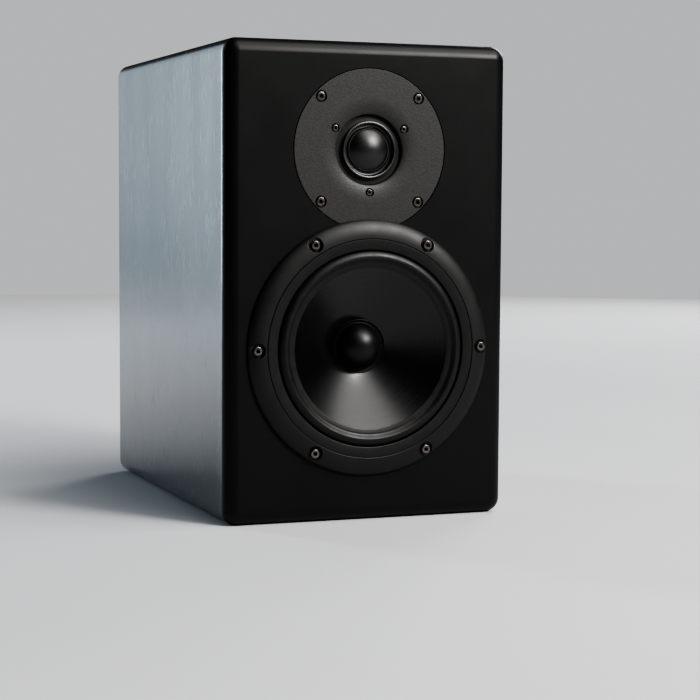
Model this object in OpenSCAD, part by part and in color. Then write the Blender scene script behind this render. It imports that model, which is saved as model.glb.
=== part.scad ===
// Two-way bookshelf loudspeaker: a rounded black cabinet, a coned woofer, a dome tweeter,
// a crossover inside and a reflex port and terminal cup behind.
// Front face towards -Y, +X to the right as seen from the front, +Z up.
// The origin is the middle of the footprint of the whole object, on the surface it stands on.

/* [Cabinet] */
// Width of the cabinet
cabinet_w = 195; // [190:1:220]
// Height of the cabinet
cabinet_h = 311; // [309:1:340]
// Depth of the cabinet, front face to back face
cabinet_d = 278; // [270:1:290]
// Thickness of every panel
panel_t = 18; // [17:0.5:20]
// Radius of the rounded front, side, top and bottom edges
edge_r = 9.5; // [5:0.5:12]

/* [Woofer] */
// Height of the woofer's axis
woofer_z = 113; // [108:0.5:114]
// Diameter of the outer trim ring
woofer_d = 167; // [166:0.5:168]
// Height of the trim ring over the baffle
trim_proud = 5.7; // [5.4:0.1:6.2]
// Diameter of the circle that the woofer's screws stand on
woofer_pcd = 155; // [154:0.5:156]
// Radius of the cone where the surround is glued on
cone_r = 52.7; // [51:0.1:53.5]
// Depth of the cone, from its edge to the dust cap's rim
cone_depth = 22.7; // [21:0.1:24]
// How far the cone's face bows back from a straight line
cone_bow = 1.1; // [0:0.1:1.5]
// Radius of the dust cap's rim
cap_r = 16; // [15:0.1:18]
// Height of the dust cap's crown over its rim
cap_rise = 12; // [8:0.5:13]

/* [Tweeter] */
// Height of the tweeter's axis
tweeter_z = 241.5; // [240:0.5:243]
// Diameter of the tweeter's face plate
tweeter_d = 104; // [102:0.5:105]
// Diameter of the circle that the face plate's four mounting screws stand on
tweeter_pcd = 95; // [93:0.5:96]
// Radius of the dome at its edge
dome_r = 13.4; // [12.9:0.1:13.6]
// Height of the dome's crown over its edge
dome_rise = 5.2; // [3:0.1:7]

/* [Back] */
// Height of the port's axis
port_z = 232; // [230:1:240]
// Radius of the port's bore
port_r = 25; // [20:0.5:26]
// Length of the port's tube
port_l = 115; // [60:1:130]
// Height of the terminal cup's centre
cup_z = 90; // [85:1:110]
// Distance between the two binding posts
post_pitch = 19; // [18:0.1:24]
// Radius of the banana plug socket in each post
socket_r = 2; // [1.9:0.05:2.1]

/* [Hidden] */
$fn = 96;
eps = 0.5;               // how far a cutter runs past the face that it cuts
fit = 0.05;              // radial clearance of a screw, stud or coil in its hole
seat_gap = 0.3;          // gap between a driver or cup and the edge of its cutout

// Woofer, measured along its axis from the baffle's face, positive into the cabinet
gasket_t = 0.6;                          // foam gasket under the frame's flange
sheet_t = 1.2;                           // pressed sheet of the frame
flange_front = -gasket_t - sheet_t;      // front face of the frame's flange
lip_t = 0.8;                             // rubber of the surround
lip_front = flange_front - lip_t;        // front face of the surround's outer lip
flange_r = 80.4;
trim_inner_r = 71.1;
gasket_ring_r = [64, 70.9];              // flat ring between the surround and the trim ring
cutout_r = 71;                           // hole in the baffle for the woofer
roll_r = [55.4, 59.3, 63.6];             // the surround's roll: inner foot, crest, outer foot
roll_d = [-5, -6.98, -2.8];              // and their depths
front_proud = -roll_d[1];                // the roll's crest is the foremost thing
rim_d = -4;                              // the cone's flat rim
cone_neck_r = 13.25;
cone_t = 1;
cone_wall = 1.6;                         // thickness of its sloping wall, measured along the axis
former_r = [12.9, 13.2];
coil_r = 13.75;
coil_span = [47, 59];
former_span = [19.5, 62];
lead_start = 24;                         // where the flexible leads leave the cone's back
spider_d = 37.25;
shelf_d = 38;                            // the frame's shelf that carries the spider
plate_span = [50, 56];                   // top plate of the magnet system
magnet_end = 74;
pole_end = 80;
woofer_screw_n = 6;
woofer_screw_r = 2;
tweeter_screw_r = 1.9;
small_screw_r = 1.4;
board_screw_r = 1.5;
cup_screw_r = 1.7;
head_r = 2.9;                            // heads and keys of the drivers' mounting screws
key_r = 1.35;
screw_end = 15;
hole_end = 16;                           // blind holes for those screws in the baffle
pocket_floor = -2.6;
pocket_r = 4.9;
screw_clear_r = 2.3;

// Tweeter, measured the same way
face_t = 4;                              // face plate, flush with the baffle
recess_d = 4.5;                          // recess for the plate and its gasket
boss_r = 36;                             // the plate's boss, which meets the top plate
boss_end = 6.5;
mouth_r = [22.7, 34];                    // opening in the plate, and where it starts to dip
lip_drop = 2.2;                          // how far the plate dips into the mouth
well_d = 3.7;                            // floor of the groove round the bezel
bezel_r = [16.5, 18.4];
bezel_front = 0.8;
bezel_back = 3.8;
bezel_round = (bezel_r[1] - bezel_r[0]) / 2;
bezel_lip = 2.6;                         // back of the bezel's inner lip
dome_edge = 2.8;
plate2_end = 9.5;
magnet2_end = 19.5;
pole2_end = 23.5;
chamber_end = 50;
small_pcd = 54.7;                        // circle of the three screws that hold the plate on its motor
plate_seat = 2.6;                        // where the mounting screws' heads rest
small_seat = 2.2;
tweeter_cutout_r = 37.5;

// Back
rear_proud = 3;                          // flanges of the port and the terminal cup
flange_t = rear_proud;
port_wall = 2;
port_flange_r = 36;
flare = 7;                               // radius of the port's rounded mouth
cup_in = [72, 50];                       // inside of the cup, across and up
cup_wall = 2.5;
cup_hole = cup_in + 2 * (cup_wall + seat_gap) * [1, 1];
cup_depth = 24;
cup_flange = [96, 76];
cup_gasket_t = 0.8;
corner_r = 6;
cup_screw_at = [43, 33];                 // from the cup's centre
sink = [1.2, 3.7];                       // countersink in the flange: its depth and its wide end
stud_r = 3;
stud_end = cabinet_d - 3;
cup_floor = cabinet_d - cup_depth;
knob_l = 20;
knob_r = 7.5;
flutes = 14;
stud_in = 14;                            // length of a stud inside the cabinet
socket_l = 20;
nut_t = 3.5;
washer_t = 1.5;
collar_t = 2;
play = 0.1;                              // end play of the loose washer and the knob

front_y = -(cabinet_d + front_proud + rear_proud) / 2 + front_proud;
back_in = cabinet_d - panel_t;           // front face of the back panel
inner_w = cabinet_w - 2 * panel_t;
brace_z = [190, 202];
board_z = [panel_t + 6, panel_t + 7.6];
board_x = 60;
board_y = [118, 232];
board_hole = [54, 124, 226];             // fixing points, across and along
board_hole_end = 8;                      // bottom of the screw holes in the bottom panel
brace_open = [96, 155];                  // window in the brace
brace_open_y = 60;
foam_t = 12;
foam_y = 35;
foam_l = 215;
foam_gap = 3;

// ---------- helpers ----------

// From the baffle's face at y = 0 to the object's own frame
module placed() translate([0, front_y, 0]) children();

// Children turned about a driver's axis, which points into the cabinet
module on_axis(z) placed() translate([0, 0, z]) rotate([-90, 0, 0]) children();

// Ring between two radii and two depths
module ring(r_in, r_out, d0, d1) {
    translate([0, 0, d0]) difference() {
        cylinder(r = r_out, h = d1 - d0);
        translate([0, 0, -eps]) cylinder(r = r_in, h = d1 - d0 + 2 * eps);
    }
}

// Children copied round the axis at radius r, at each of the angles
module around(angles, r) for (a = angles) rotate([0, 0, -a]) translate([r, 0, 0]) children();

// Points on an arc
function arc(c, r, a0, a1, n) =
    [for (i = [0:n]) let (a = a0 + (a1 - a0) * i / n) c + r * [cos(a), sin(a)]];

// Points on a quarter of an ellipse, from its side to its top
function quarter(c, rx, ry, n) = [for (i = [0:n]) c + [rx * cos(90 * i / n), ry * sin(90 * i / n)]];

function reversed(list) = [for (i = [len(list) - 1:-1:0]) list[i]];

// A shallow cap's section, from its crown to a rim of radius a, with height h over the rim
function cap_radius(a, h) = (a * a + h * h) / (2 * h);
function cap_arc(a, h, rim_d, n) =
    let (s = cap_radius(a, h), half = asin(a / s))
    [for (i = [0:n]) let (t = half * i / n) [s * sin(t), rim_d - h + s - s * cos(t)]];

woofer_angles = [for (i = [0:woofer_screw_n - 1]) 360 / woofer_screw_n * i];
tweeter_angles = [45, 135, 225, 315];
plate_angles = [30, 150, 270];

// Socket-headed screw: head from d0 to d1, shank on to d2
module socket_screw(head_r, d0, d1, shank_r, d2, key_r, key_depth = 1.7) {
    difference() {
        union() {
            translate([0, 0, d0]) cylinder(r1 = head_r - 0.4, r2 = head_r, h = 0.4);
            translate([0, 0, d0 + 0.4]) cylinder(r = head_r, h = d1 - d0 - 0.4);
            translate([0, 0, d1 - eps]) cylinder(r = shank_r, h = d2 - d1 + eps);
        }
        translate([0, 0, d0 - eps]) cylinder(r = key_r, h = key_depth + eps, $fn = 6);
    }
}

// Round wire along a smooth curve from a to d that leaves towards b and arrives from c.
// "side" is a direction that the wire never runs along.
function curve(a, b, c, d, t) = pow(1 - t, 3) * a + 3 * t * pow(1 - t, 2) * b
    + 3 * t * t * (1 - t) * c + pow(t, 3) * d;
function slope(a, b, c, d, t) = 3 * pow(1 - t, 2) * (b - a) + 6 * t * (1 - t) * (c - b)
    + 3 * t * t * (d - c);
function unit(v) = v / norm(v);
module wire(p, r, side, rings = 14, sides = 8) {
    points = [for (i = [0:rings]) let (
        t = i / rings,
        along = unit(slope(p[0], p[1], p[2], p[3], t)),
        u = unit(cross(side, along)),
        v = cross(along, u)
    ) for (k = [0:sides - 1]) curve(p[0], p[1], p[2], p[3], t)
        + r * (cos(360 * k / sides) * u + sin(360 * k / sides) * v)];
    walls = [for (i = [0:rings - 1], k = [0:sides - 1]) let (n = (k + 1) % sides)
        [i * sides + n, i * sides + k, (i + 1) * sides + k, (i + 1) * sides + n]];
    near = [for (k = [0:sides - 1]) k];
    far = [for (k = [sides - 1:-1:0]) rings * sides + k];
    polyhedron(points = points, faces = concat(walls, [near, far]));
}

// ---------- cabinet ----------

// Outer shape of the whole cabinet: rounded in front and along its sides, square behind
module cabinet_shape() {
    hull() {
        for (x = [-1, 1], z = [0, 1]) {
            translate([x * (cabinet_w / 2 - edge_r), edge_r, edge_r + z * (cabinet_h - 2 * edge_r)])
                rotate([-90, 0, 0]) {
                    sphere(r = edge_r, $fn = 32);
                    cylinder(r = edge_r, h = cabinet_d - edge_r, $fn = 32);
                }
        }
        translate([-cabinet_w / 2 + edge_r, 0, edge_r])
            cube([cabinet_w - 2 * edge_r, 1, cabinet_h - 2 * edge_r]);
    }
}

// Slab behind the baffle whose ends are cut at 45 degrees, for a mitred corner
module mitred(corners) {
    translate([0, cabinet_d, 0]) rotate([90, 0, 0])
        linear_extrude(height = cabinet_d - panel_t) polygon(corners);
}

module front_baffle() color([0.05, 0.05, 0.055]) placed() difference() {
    intersection() {
        cabinet_shape();
        translate([-cabinet_w, -1, -1]) cube([2 * cabinet_w, panel_t + 1, cabinet_h + 2]);
    }
    translate([0, 0, woofer_z]) rotate([-90, 0, 0]) {
        translate([0, 0, -eps]) cylinder(r = cutout_r, h = panel_t + 2 * eps);
        around(woofer_angles, woofer_pcd / 2)
            translate([0, 0, -eps]) cylinder(r = woofer_screw_r + fit, h = hole_end + eps);
    }
    translate([0, 0, tweeter_z]) rotate([-90, 0, 0]) {
        translate([0, 0, -eps]) cylinder(r = tweeter_cutout_r, h = panel_t + 2 * eps);
        translate([0, 0, -eps]) cylinder(r = tweeter_d / 2 + seat_gap, h = recess_d + eps);
        around(tweeter_angles, tweeter_pcd / 2) cylinder(r = tweeter_screw_r + fit, h = hole_end);
    }
}

module side_panel(s) color([0.16, 0.17, 0.19]) placed() intersection() {
    cabinet_shape();
    mitred([
        [s * cabinet_w / 2, 0], [s * cabinet_w / 2, cabinet_h],
        [s * inner_w / 2, cabinet_h - panel_t], [s * inner_w / 2, panel_t]
    ]);
}

// The top panel, or with z = 0 the bottom one
module level_panel(z, in_z) color([0.16, 0.17, 0.19]) placed() intersection() {
    cabinet_shape();
    mitred([[-cabinet_w / 2, z], [cabinet_w / 2, z], [inner_w / 2, in_z], [-inner_w / 2, in_z]]);
}

module left_panel() side_panel(-1);
module right_panel() side_panel(1);
module top_panel() level_panel(cabinet_h, cabinet_h - panel_t);
module bottom_panel() difference() {
    level_panel(0, panel_t);
    placed() board_corners() translate([0, 0, board_hole_end]) cylinder(r = board_screw_r + fit, h = panel_t);
}

module back_panel() color([0.08, 0.08, 0.085]) placed() difference() {
    translate([-inner_w / 2, back_in, panel_t]) cube([inner_w, panel_t, cabinet_h - 2 * panel_t]);
    translate([0, back_in - eps, port_z]) rotate([-90, 0, 0])
        cylinder(r = port_r + port_wall + seat_gap, h = panel_t + 2 * eps);
    translate([-cup_hole.x / 2, back_in - eps, cup_z - cup_hole.y / 2])
        cube([cup_hole.x, panel_t + 2 * eps, cup_hole.y]);
    translate([0, 0, cup_z]) cup_corners(back_in + 4) cylinder(r = cup_screw_r + fit, h = panel_t);
}

module brace() color([0.62, 0.5, 0.36]) placed() difference() {
    translate([-inner_w / 2, panel_t, brace_z[0]])
        cube([inner_w, back_in - panel_t, brace_z[1] - brace_z[0]]);
    translate([-brace_open.x / 2, brace_open_y, brace_z[0] - 1])
        cube([brace_open.x, brace_open.y, brace_z[1] - brace_z[0] + 2]);
}

module damping_foam() color([0.2, 0.2, 0.21]) placed() {
    over_brace = brace_z[1] + foam_gap;
    for (s = [0, 1]) mirror([s, 0, 0]) {
        translate([-inner_w / 2, foam_y, panel_t + foam_gap])
            cube([foam_t, foam_l, brace_z[0] - panel_t - 2 * foam_gap]);
        translate([-inner_w / 2, foam_y, over_brace])
            cube([foam_t, foam_l, cabinet_h - panel_t - foam_t - foam_gap - over_brace]);
    }
    translate([-inner_w / 2 + 2, foam_y, cabinet_h - panel_t - foam_t]) cube([inner_w - 4, foam_l, foam_t]);
}

// ---------- woofer ----------

module woofer_basket() color([0.1, 0.1, 0.1]) on_axis(woofer_z) {
    difference() {
        rotate_extrude() polygon([
            [flange_r, -gasket_t], [67.2, -gasket_t], [67.2, 12], [42.4, shelf_d],
            [42.4, shelf_d + sheet_t], [32.2, shelf_d + sheet_t],
            [32.2, plate_span[0] - sheet_t], [39, plate_span[0] - sheet_t],
            [39, plate_span[0]], [16, plate_span[0]], [16, plate_span[0] - sheet_t],
            [31, plate_span[0] - sheet_t], [31, shelf_d], [41.2, shelf_d], [66, 11.5],
            [66, -gasket_t], [62, -gasket_t], [62, flange_front], [flange_r, flange_front]
        ]);
        for (i = [0:5]) rotate([0, 0, 60 * i]) translate([44, -17, 14]) cube([26, 34, 20]);
        around(woofer_angles, woofer_pcd / 2)
            translate([0, 0, flange_front - eps]) cylinder(r = screw_clear_r, h = sheet_t + 2 * eps);
    }
}

module woofer_mounting_gasket() color([0.15, 0.15, 0.15]) on_axis(woofer_z) difference() {
    ring(72, flange_r, -gasket_t, 0);
    around(woofer_angles, woofer_pcd / 2) translate([0, 0, -2]) cylinder(r = screw_clear_r, h = 4);
}

module woofer_trim_ring() color([0.11, 0.11, 0.11]) on_axis(woofer_z) difference() {
    rotate_extrude() polygon(concat(
        quarter([trim_inner_r, 0], woofer_d / 2 - trim_inner_r, -trim_proud, 14),
        [[trim_inner_r, flange_front], [flange_r + 0.2, flange_front], [flange_r + 0.2, 0]]
    ));
    around(woofer_angles, woofer_pcd / 2) {
        translate([0, 0, -8]) cylinder(r = pocket_r, h = 8 + pocket_floor);
        translate([0, 0, -4]) cylinder(r = screw_clear_r, h = 5);
    }
}

module woofer_gasket_ring() color([0.07, 0.07, 0.07]) on_axis(woofer_z) rotate_extrude()
    polygon([
        [gasket_ring_r[0], lip_front], [gasket_ring_r[0], -4.7], [gasket_ring_r[0] + 0.4, -5.1],
        [gasket_ring_r[1] - 0.4, -5.6], [gasket_ring_r[1], -5.2], [gasket_ring_r[1], lip_front]
    ]);

// Depth of the roll's soft inner flank at radius r
function soft_at(r) = roll_d[0]
    + (roll_d[1] - roll_d[0]) * (1 + cos(180 * (roll_r[1] - r) / (roll_r[1] - roll_r[0]))) / 2;

// Outer lip, roll and the sloping lip that is glued on the cone's edge
module woofer_surround() color([0.08, 0.08, 0.08]) on_axis(woofer_z) {
    under_r = 56.6;
    steps = 10;
    wide = roll_r[2] - roll_r[1];
    high = roll_d[2] - roll_d[1];
    steep = [for (i = [0:steps]) let (a = 90 * i / steps)
        [roll_r[1] + wide * cos(a), roll_d[2] - high * sin(a)]];
    steep_under = [for (i = [steps:-1:0]) let (a = 90 * i / steps)
        [roll_r[1] + (wide - lip_t) * cos(a), roll_d[2] - (high - lip_t) * sin(a)]];
    soft = [for (i = [1:steps]) roll_r[1] + (roll_r[0] - roll_r[1]) * i / steps];
    soft_under = [for (i = [steps:-1:1]) roll_r[1] + (under_r - roll_r[1]) * i / steps];
    rotate_extrude() polygon(concat(
        [[70, lip_front], [roll_r[2], lip_front]], steep, [for (r = soft) [r, soft_at(r)]],
        [[cone_r, rim_d - 0.3], [cone_r, rim_d], [under_r, rim_d]],
        [for (r = soft_under) [r, soft_at(r) + lip_t]],
        steep_under, [[roll_r[2] - lip_t, flange_front], [70, flange_front]]
    ));
}

// Depth of the cone's bowed face at radius r, and radii from its edge to its neck
function cone_at(r) = let (u = (cone_r - r) / (cone_r - cap_r))
    rim_d + u * (cone_depth + 4 * cone_bow * (1 - u));
cone_steps = [for (i = [0:10]) cone_r + (cone_neck_r - cone_r) * i / 10];

module woofer_cone() color([0.05, 0.05, 0.05]) on_axis(woofer_z) rotate_extrude() polygon(concat(
    [[56.4, rim_d]], [for (r = cone_steps) [r, cone_at(r)]],
    [for (r = reversed(cone_steps)) [max(r - 0.6, cone_neck_r), cone_at(r) + cone_wall]],
    [[56.4, rim_d + cone_t]]
));

module woofer_dust_cap() color([0.04, 0.04, 0.04]) on_axis(woofer_z) {
    inner_r = cap_r - 0.8;
    rotate_extrude() polygon(concat(
        cap_arc(cap_r, cap_rise, cone_at(cap_r) - fit, 16),
        reversed(cap_arc(inner_r, cap_rise - 0.4, cone_at(inner_r) - fit, 16))
    ));
}

// Former with its winding
module woofer_voice_coil() color([0.72, 0.4, 0.2]) on_axis(woofer_z) rotate_extrude() polygon([
    [former_r[0], former_span[0]], [former_r[1], former_span[0]], [former_r[1], coil_span[0]],
    [coil_r, coil_span[0]], [coil_r, coil_span[1]], [former_r[1], coil_span[1]],
    [former_r[1], former_span[1]], [former_r[0], former_span[1]]
]);

// Corrugated disc that centres the voice coil
module woofer_spider() color([0.75, 0.6, 0.3]) on_axis(woofer_z) {
    wave_end = 30.5;
    steps = 44;
    t = 0.5;
    wave = [for (i = [0:steps]) let (r = cone_neck_r + (wave_end - cone_neck_r) * i / steps)
        [r, spider_d + 0.7 * sin(360 * 4 * i / steps)]];
    rotate_extrude() polygon(concat(
        wave, [[31, shelf_d - t], [41, shelf_d - t], [41, shelf_d], [31, shelf_d]],
        [for (i = [steps:-1:0]) wave[i] + [0, t]]
    ));
}

module woofer_top_plate() color([0.5, 0.5, 0.52]) on_axis(woofer_z)
    ring(14.1, 40, plate_span[0], plate_span[1]);

module woofer_magnet() color([0.2, 0.2, 0.2]) on_axis(woofer_z) ring(18, 45, plate_span[1], magnet_end);

// Back plate with the vented pole standing on it
module woofer_pole_plate() color([0.45, 0.45, 0.47]) on_axis(woofer_z) rotate_extrude() polygon([
    [5, plate_span[0]], [12.5, plate_span[0]], [12.5, magnet_end], [42, magnet_end],
    [42, pole_end - 1], [41, pole_end], [5, pole_end]
]);

// Tag board behind the frame's shelf with two tabs
module woofer_terminals() color([0.6, 0.45, 0.25]) on_axis(woofer_z) {
    board = shelf_d + sheet_t;
    translate([34, -10, board]) cube([16, 20, 1.6]);
    for (s = [-1, 1]) translate([46, s * 6 - 2.4, board + 1.6]) cube([0.8, 4.8, 10]);
}

// Flexible leads from the cone to the tag board
module woofer_lead_wires() color([0.72, 0.45, 0.3]) on_axis(woofer_z)
    for (s = [-1, 1])
        wire([[lead_start, 4.5 * s, cone_at(lead_start) + cone_wall], [33, 4.5 * s, 26],
            [48.5, 4.5 * s, 24], [48, 4.5 * s, shelf_d + sheet_t]],
            0.6, [0, 1, 0]);

module woofer_screws() color([0.35, 0.32, 0.28]) on_axis(woofer_z)
    around(woofer_angles, woofer_pcd / 2)
        socket_screw(head_r, -5.5, pocket_floor, woofer_screw_r, screw_end, key_r);

// ---------- tweeter ----------

module tweeter_faceplate() color([0.14, 0.13, 0.13]) on_axis(tweeter_z) difference() {
    rotate_extrude() polygon(concat(
        [[tweeter_d / 2, 0.4], [tweeter_d / 2 - 0.4, 0]],
        reversed(quarter([mouth_r[1], lip_drop], mouth_r[0] - mouth_r[1], -lip_drop, 8)),
        [[mouth_r[0], boss_end], [boss_r, boss_end], [boss_r, face_t], [tweeter_d / 2, face_t]]
    ));
    around(tweeter_angles, tweeter_pcd / 2) {
        translate([0, 0, -1]) cylinder(r = 3.8, h = 1 + plate_seat);
        translate([0, 0, -1]) cylinder(r = screw_clear_r, h = 8);
    }
    around(plate_angles, small_pcd / 2) {
        translate([0, 0, -1]) cylinder(r = 2.75, h = 1 + small_seat);
        translate([0, 0, -1]) cylinder(r = 1.6, h = 9);
    }
}

module tweeter_mounting_gasket() color([0.15, 0.15, 0.15]) on_axis(tweeter_z) difference() {
    ring(38, tweeter_d / 2 - 0.5, face_t, recess_d);
    around(tweeter_angles, tweeter_pcd / 2) cylinder(r = screw_clear_r, h = 8);
}

// Dark ring at the bottom of the mouth
module tweeter_inner_ring() color([0.03, 0.03, 0.03]) on_axis(tweeter_z) rotate_extrude() polygon([
    [bezel_r[1] + 0.1, well_d], [mouth_r[0] - 0.1, well_d + 0.2], [mouth_r[0] - 0.1, boss_end],
    [bezel_r[0] + 1, boss_end], [bezel_r[0] + 1, bezel_back + 0.1], [bezel_r[1] + 0.1, bezel_back + 0.1]
]);

// Bright rounded ring round the dome
module tweeter_bezel() color([0.6, 0.59, 0.57]) on_axis(tweeter_z) rotate_extrude() polygon(concat(
    [[bezel_r[0], bezel_lip], [bezel_r[0], bezel_front + bezel_round]],
    arc([bezel_r[0] + bezel_round, bezel_front + bezel_round], bezel_round, -172, -8, 10),
    [[bezel_r[1], bezel_front + bezel_round], [bezel_r[1], bezel_back],
     [bezel_r[0] + 1, bezel_back], [bezel_r[0] + 1, bezel_lip]]
));

// Soft ring with a groove, from the dome to the clamp behind the bezel
module tweeter_surround() color([0.05, 0.05, 0.05]) on_axis(tweeter_z) {
    inner_r = dome_r + 0.02;
    outer_r = bezel_r[0] + 0.9;
    t = 0.3;
    groove_r = (outer_r - inner_r) / 2 - 0.5;
    groove = [(outer_r + inner_r) / 2, dome_edge];
    back_start = asin(t / (groove_r + t));
    rotate_extrude() polygon(concat(
        [[inner_r, dome_edge]], arc(groove, groove_r, 180, 0, 12), [[outer_r, dome_edge]],
        [[outer_r, dome_edge + t]], arc(groove, groove_r + t, back_start, 180 - back_start, 12),
        [[inner_r, dome_edge + t]]
    ));
}

module tweeter_dome() color([0.05, 0.05, 0.05]) on_axis(tweeter_z) {
    inner_r = dome_r - 0.35;
    rotate_extrude() polygon(concat(
        cap_arc(dome_r, dome_rise, dome_edge, 14),
        reversed(cap_arc(inner_r, dome_rise, dome_edge + 0.35, 14))
    ));
}

module tweeter_voice_coil() color([0.72, 0.4, 0.2]) on_axis(tweeter_z) rotate_extrude() polygon([
    [12.7, 3.2], [12.9, 3.2], [12.9, 6.2], [13.15, 6.2], [13.15, 9.2], [12.7, 9.2]
]);

module tweeter_top_plate() color([0.5, 0.5, 0.52]) on_axis(tweeter_z) difference() {
    ring(13.6, boss_r, boss_end, plate2_end);
    around(plate_angles, small_pcd / 2) cylinder(r = small_screw_r + fit, h = 20);
}

module tweeter_magnet() color([0.2, 0.2, 0.2]) on_axis(tweeter_z)
    ring(16, boss_r, plate2_end, magnet2_end);

module tweeter_pole_plate() color([0.45, 0.45, 0.47]) on_axis(tweeter_z) rotate_extrude() polygon([
    [4, boss_end], [12.3, boss_end], [12.3, magnet2_end], [34, magnet2_end], [34, pole2_end], [4, pole2_end]
]);

module tweeter_rear_chamber() color([0.1, 0.1, 0.1]) on_axis(tweeter_z) rotate_extrude() polygon([
    [22.5, pole2_end], [24, pole2_end], [24, chamber_end - 2], [22, chamber_end], [0, chamber_end],
    [0, chamber_end - 1.5], [21.4, chamber_end - 1.5], [22.5, chamber_end - 2.6]
]);

// Tag board on the pole plate with two tabs
module tweeter_terminals() color([0.6, 0.45, 0.25]) on_axis(tweeter_z) {
    translate([-36.5, -8, pole2_end]) cube([11, 16, 1.6]);
    for (s = [-1, 1]) translate([-33.4, s * 4.5 - 1.4, pole2_end + 1.6]) cube([0.8, 2.8, 9]);
}

module tweeter_screws() color([0.35, 0.32, 0.28]) on_axis(tweeter_z)
    around(tweeter_angles, tweeter_pcd / 2)
        socket_screw(head_r, 0, plate_seat, tweeter_screw_r, screw_end, key_r);

module tweeter_plate_screws() color([0.2, 0.19, 0.18]) on_axis(tweeter_z)
    around(plate_angles, small_pcd / 2)
        socket_screw(2, 0.5, small_seat, small_screw_r, plate2_end - 0.5, 0.9, 1.2);

// ---------- crossover ----------

module crossover_board() color([0.1, 0.3, 0.15]) placed() difference() {
    translate([-board_x, board_y[0], board_z[0]])
        cube([2 * board_x, board_y[1] - board_y[0], board_z[1] - board_z[0]]);
    board_corners() cylinder(r = board_screw_r + fit, h = 60);
}

// Children at the board's four fixing points
module board_corners() for (x = [-1, 1], y = [board_hole[1], board_hole[2]])
    translate([x * board_hole[0], y, 0]) children();

module crossover_spacers() color([0.85, 0.85, 0.8]) placed() board_corners()
    ring(board_screw_r + fit, 3.5, panel_t, board_z[0]);

module crossover_screws() color([0.6, 0.6, 0.62]) placed() board_corners() {
    translate([0, 0, board_z[1]]) cylinder(r = 2.75, h = 2);
    translate([0, 0, board_hole_end + 1])
        cylinder(r = board_screw_r, h = board_z[1] - board_hole_end - 1 + eps);
}

// Air-cored coil that stands on the board
module coil(x, y, r_in, r_out, h) translate([x, y, 0]) ring(r_in, r_out, board_z[1], board_z[1] + h);

module bass_inductor() color([0.75, 0.42, 0.2]) placed() coil(-15, 165, 11, 24, 20);
module treble_inductor() color([0.75, 0.42, 0.2]) placed() coil(-38, 210, 7, 13.5, 14);

module crossover_capacitors() color([0.75, 0.65, 0.2]) placed()
    for (c = [[18, 166, 9, 34], [18, 188, 9, 34], [18, 208, 8, 30]])
        translate([c[0], c[1], board_z[1] + c[2]]) rotate([0, 90, 0]) cylinder(r = c[2], h = c[3]);

module crossover_resistors() color([0.85, 0.83, 0.78]) placed()
    for (p = [[19, 142], [-50, 124]]) translate([p[0] + 6, p[1], board_z[1]]) cube([32, 10, 9]);

module woofer_wires() color([0.7, 0.15, 0.1]) placed() for (s = [-1, 1])
    wire([[46.4, 51, woofer_z + 6 * s], [62, 95, woofer_z + 6 * s], [34 + 2 * s, 128, 80],
        [34 + 2 * s, 132, board_z[1]]], 1, [1, 0, 0]);

module tweeter_wires() color([0.1, 0.1, 0.1]) placed() for (s = [-1, 1])
    wire([[-33, 34.2, tweeter_z + 4.5 * s], [-40, 100, tweeter_z + 4.5 * s],
        [-45 + 1.6 * s, 120, 130], [-45 + 1.6 * s, 150, board_z[1]]], 0.9, [1, 0, 0]);

module input_wires() color([0.1, 0.1, 0.1]) placed() for (s = [-1, 1])
    wire([[s * post_pitch / 2, cup_floor - 14, cup_z], [s * post_pitch / 2, cup_floor - 32, cup_z],
        [s * 7, 226, 60], [s * 5, 224, board_z[1]]], 1.2, [1, 0, 0]);

// ---------- back ----------

// Reflex port: tube with a flared mouth and a flange
module port_tube() color([0.06, 0.06, 0.06]) placed() translate([0, 0, port_z]) rotate([-90, 0, 0]) {
    mouth = cabinet_d + flange_t;
    rotate_extrude() polygon(concat(
        [[port_r, cabinet_d - port_l], [port_r, mouth - flare - 1]],
        reversed(arc([port_r + flare, mouth - flare], flare, 90, 180, 8)),
        [[port_flange_r - 1, mouth], [port_flange_r, mouth - 1], [port_flange_r, cabinet_d],
         [port_r + port_wall, cabinet_d], [port_r + port_wall, cabinet_d - port_l]]
    ));
}

// Children at the terminal cup's four screws, pointing backwards from depth y
module cup_corners(y) for (x = [-1, 1], z = [-1, 1])
    translate([x * cup_screw_at.x, y, z * cup_screw_at.y]) rotate([-90, 0, 0]) children();

// Plate with rounded corners in the XZ plane, from y0 to y1
module rounded_plate(size, r, y0, y1) hull() for (x = [-1, 1], z = [-1, 1])
    translate([x * (size.x / 2 - r), y0, z * (size.y / 2 - r)]) rotate([-90, 0, 0])
        cylinder(r = r, h = y1 - y0, $fn = 32);

module terminal_cup() color([0.06, 0.06, 0.06]) placed() translate([0, 0, cup_z]) difference() {
    union() {
        rounded_plate(cup_flange, corner_r, cabinet_d + cup_gasket_t, cabinet_d + flange_t);
        translate([-cup_in.x / 2 - cup_wall, cup_floor - cup_wall, -cup_in.y / 2 - cup_wall])
            cube([cup_in.x + 2 * cup_wall, cup_depth + cup_wall + 1.5, cup_in.y + 2 * cup_wall]);
    }
    rounded_plate(cup_in, 4, cup_floor, cabinet_d + flange_t + 1);
    for (s = [-1, 1]) translate([s * post_pitch / 2, cup_floor - 10, 0]) rotate([-90, 0, 0])
        cylinder(r = stud_r + fit, h = 20);
    cup_corners(cabinet_d) {
        translate([0, 0, -1]) cylinder(r = cup_screw_r + 0.1, h = 6);
        translate([0, 0, sink[0]])
            cylinder(r1 = cup_screw_r + 0.1, r2 = sink[1], h = flange_t - sink[0] + 0.1);
    }
}

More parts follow.
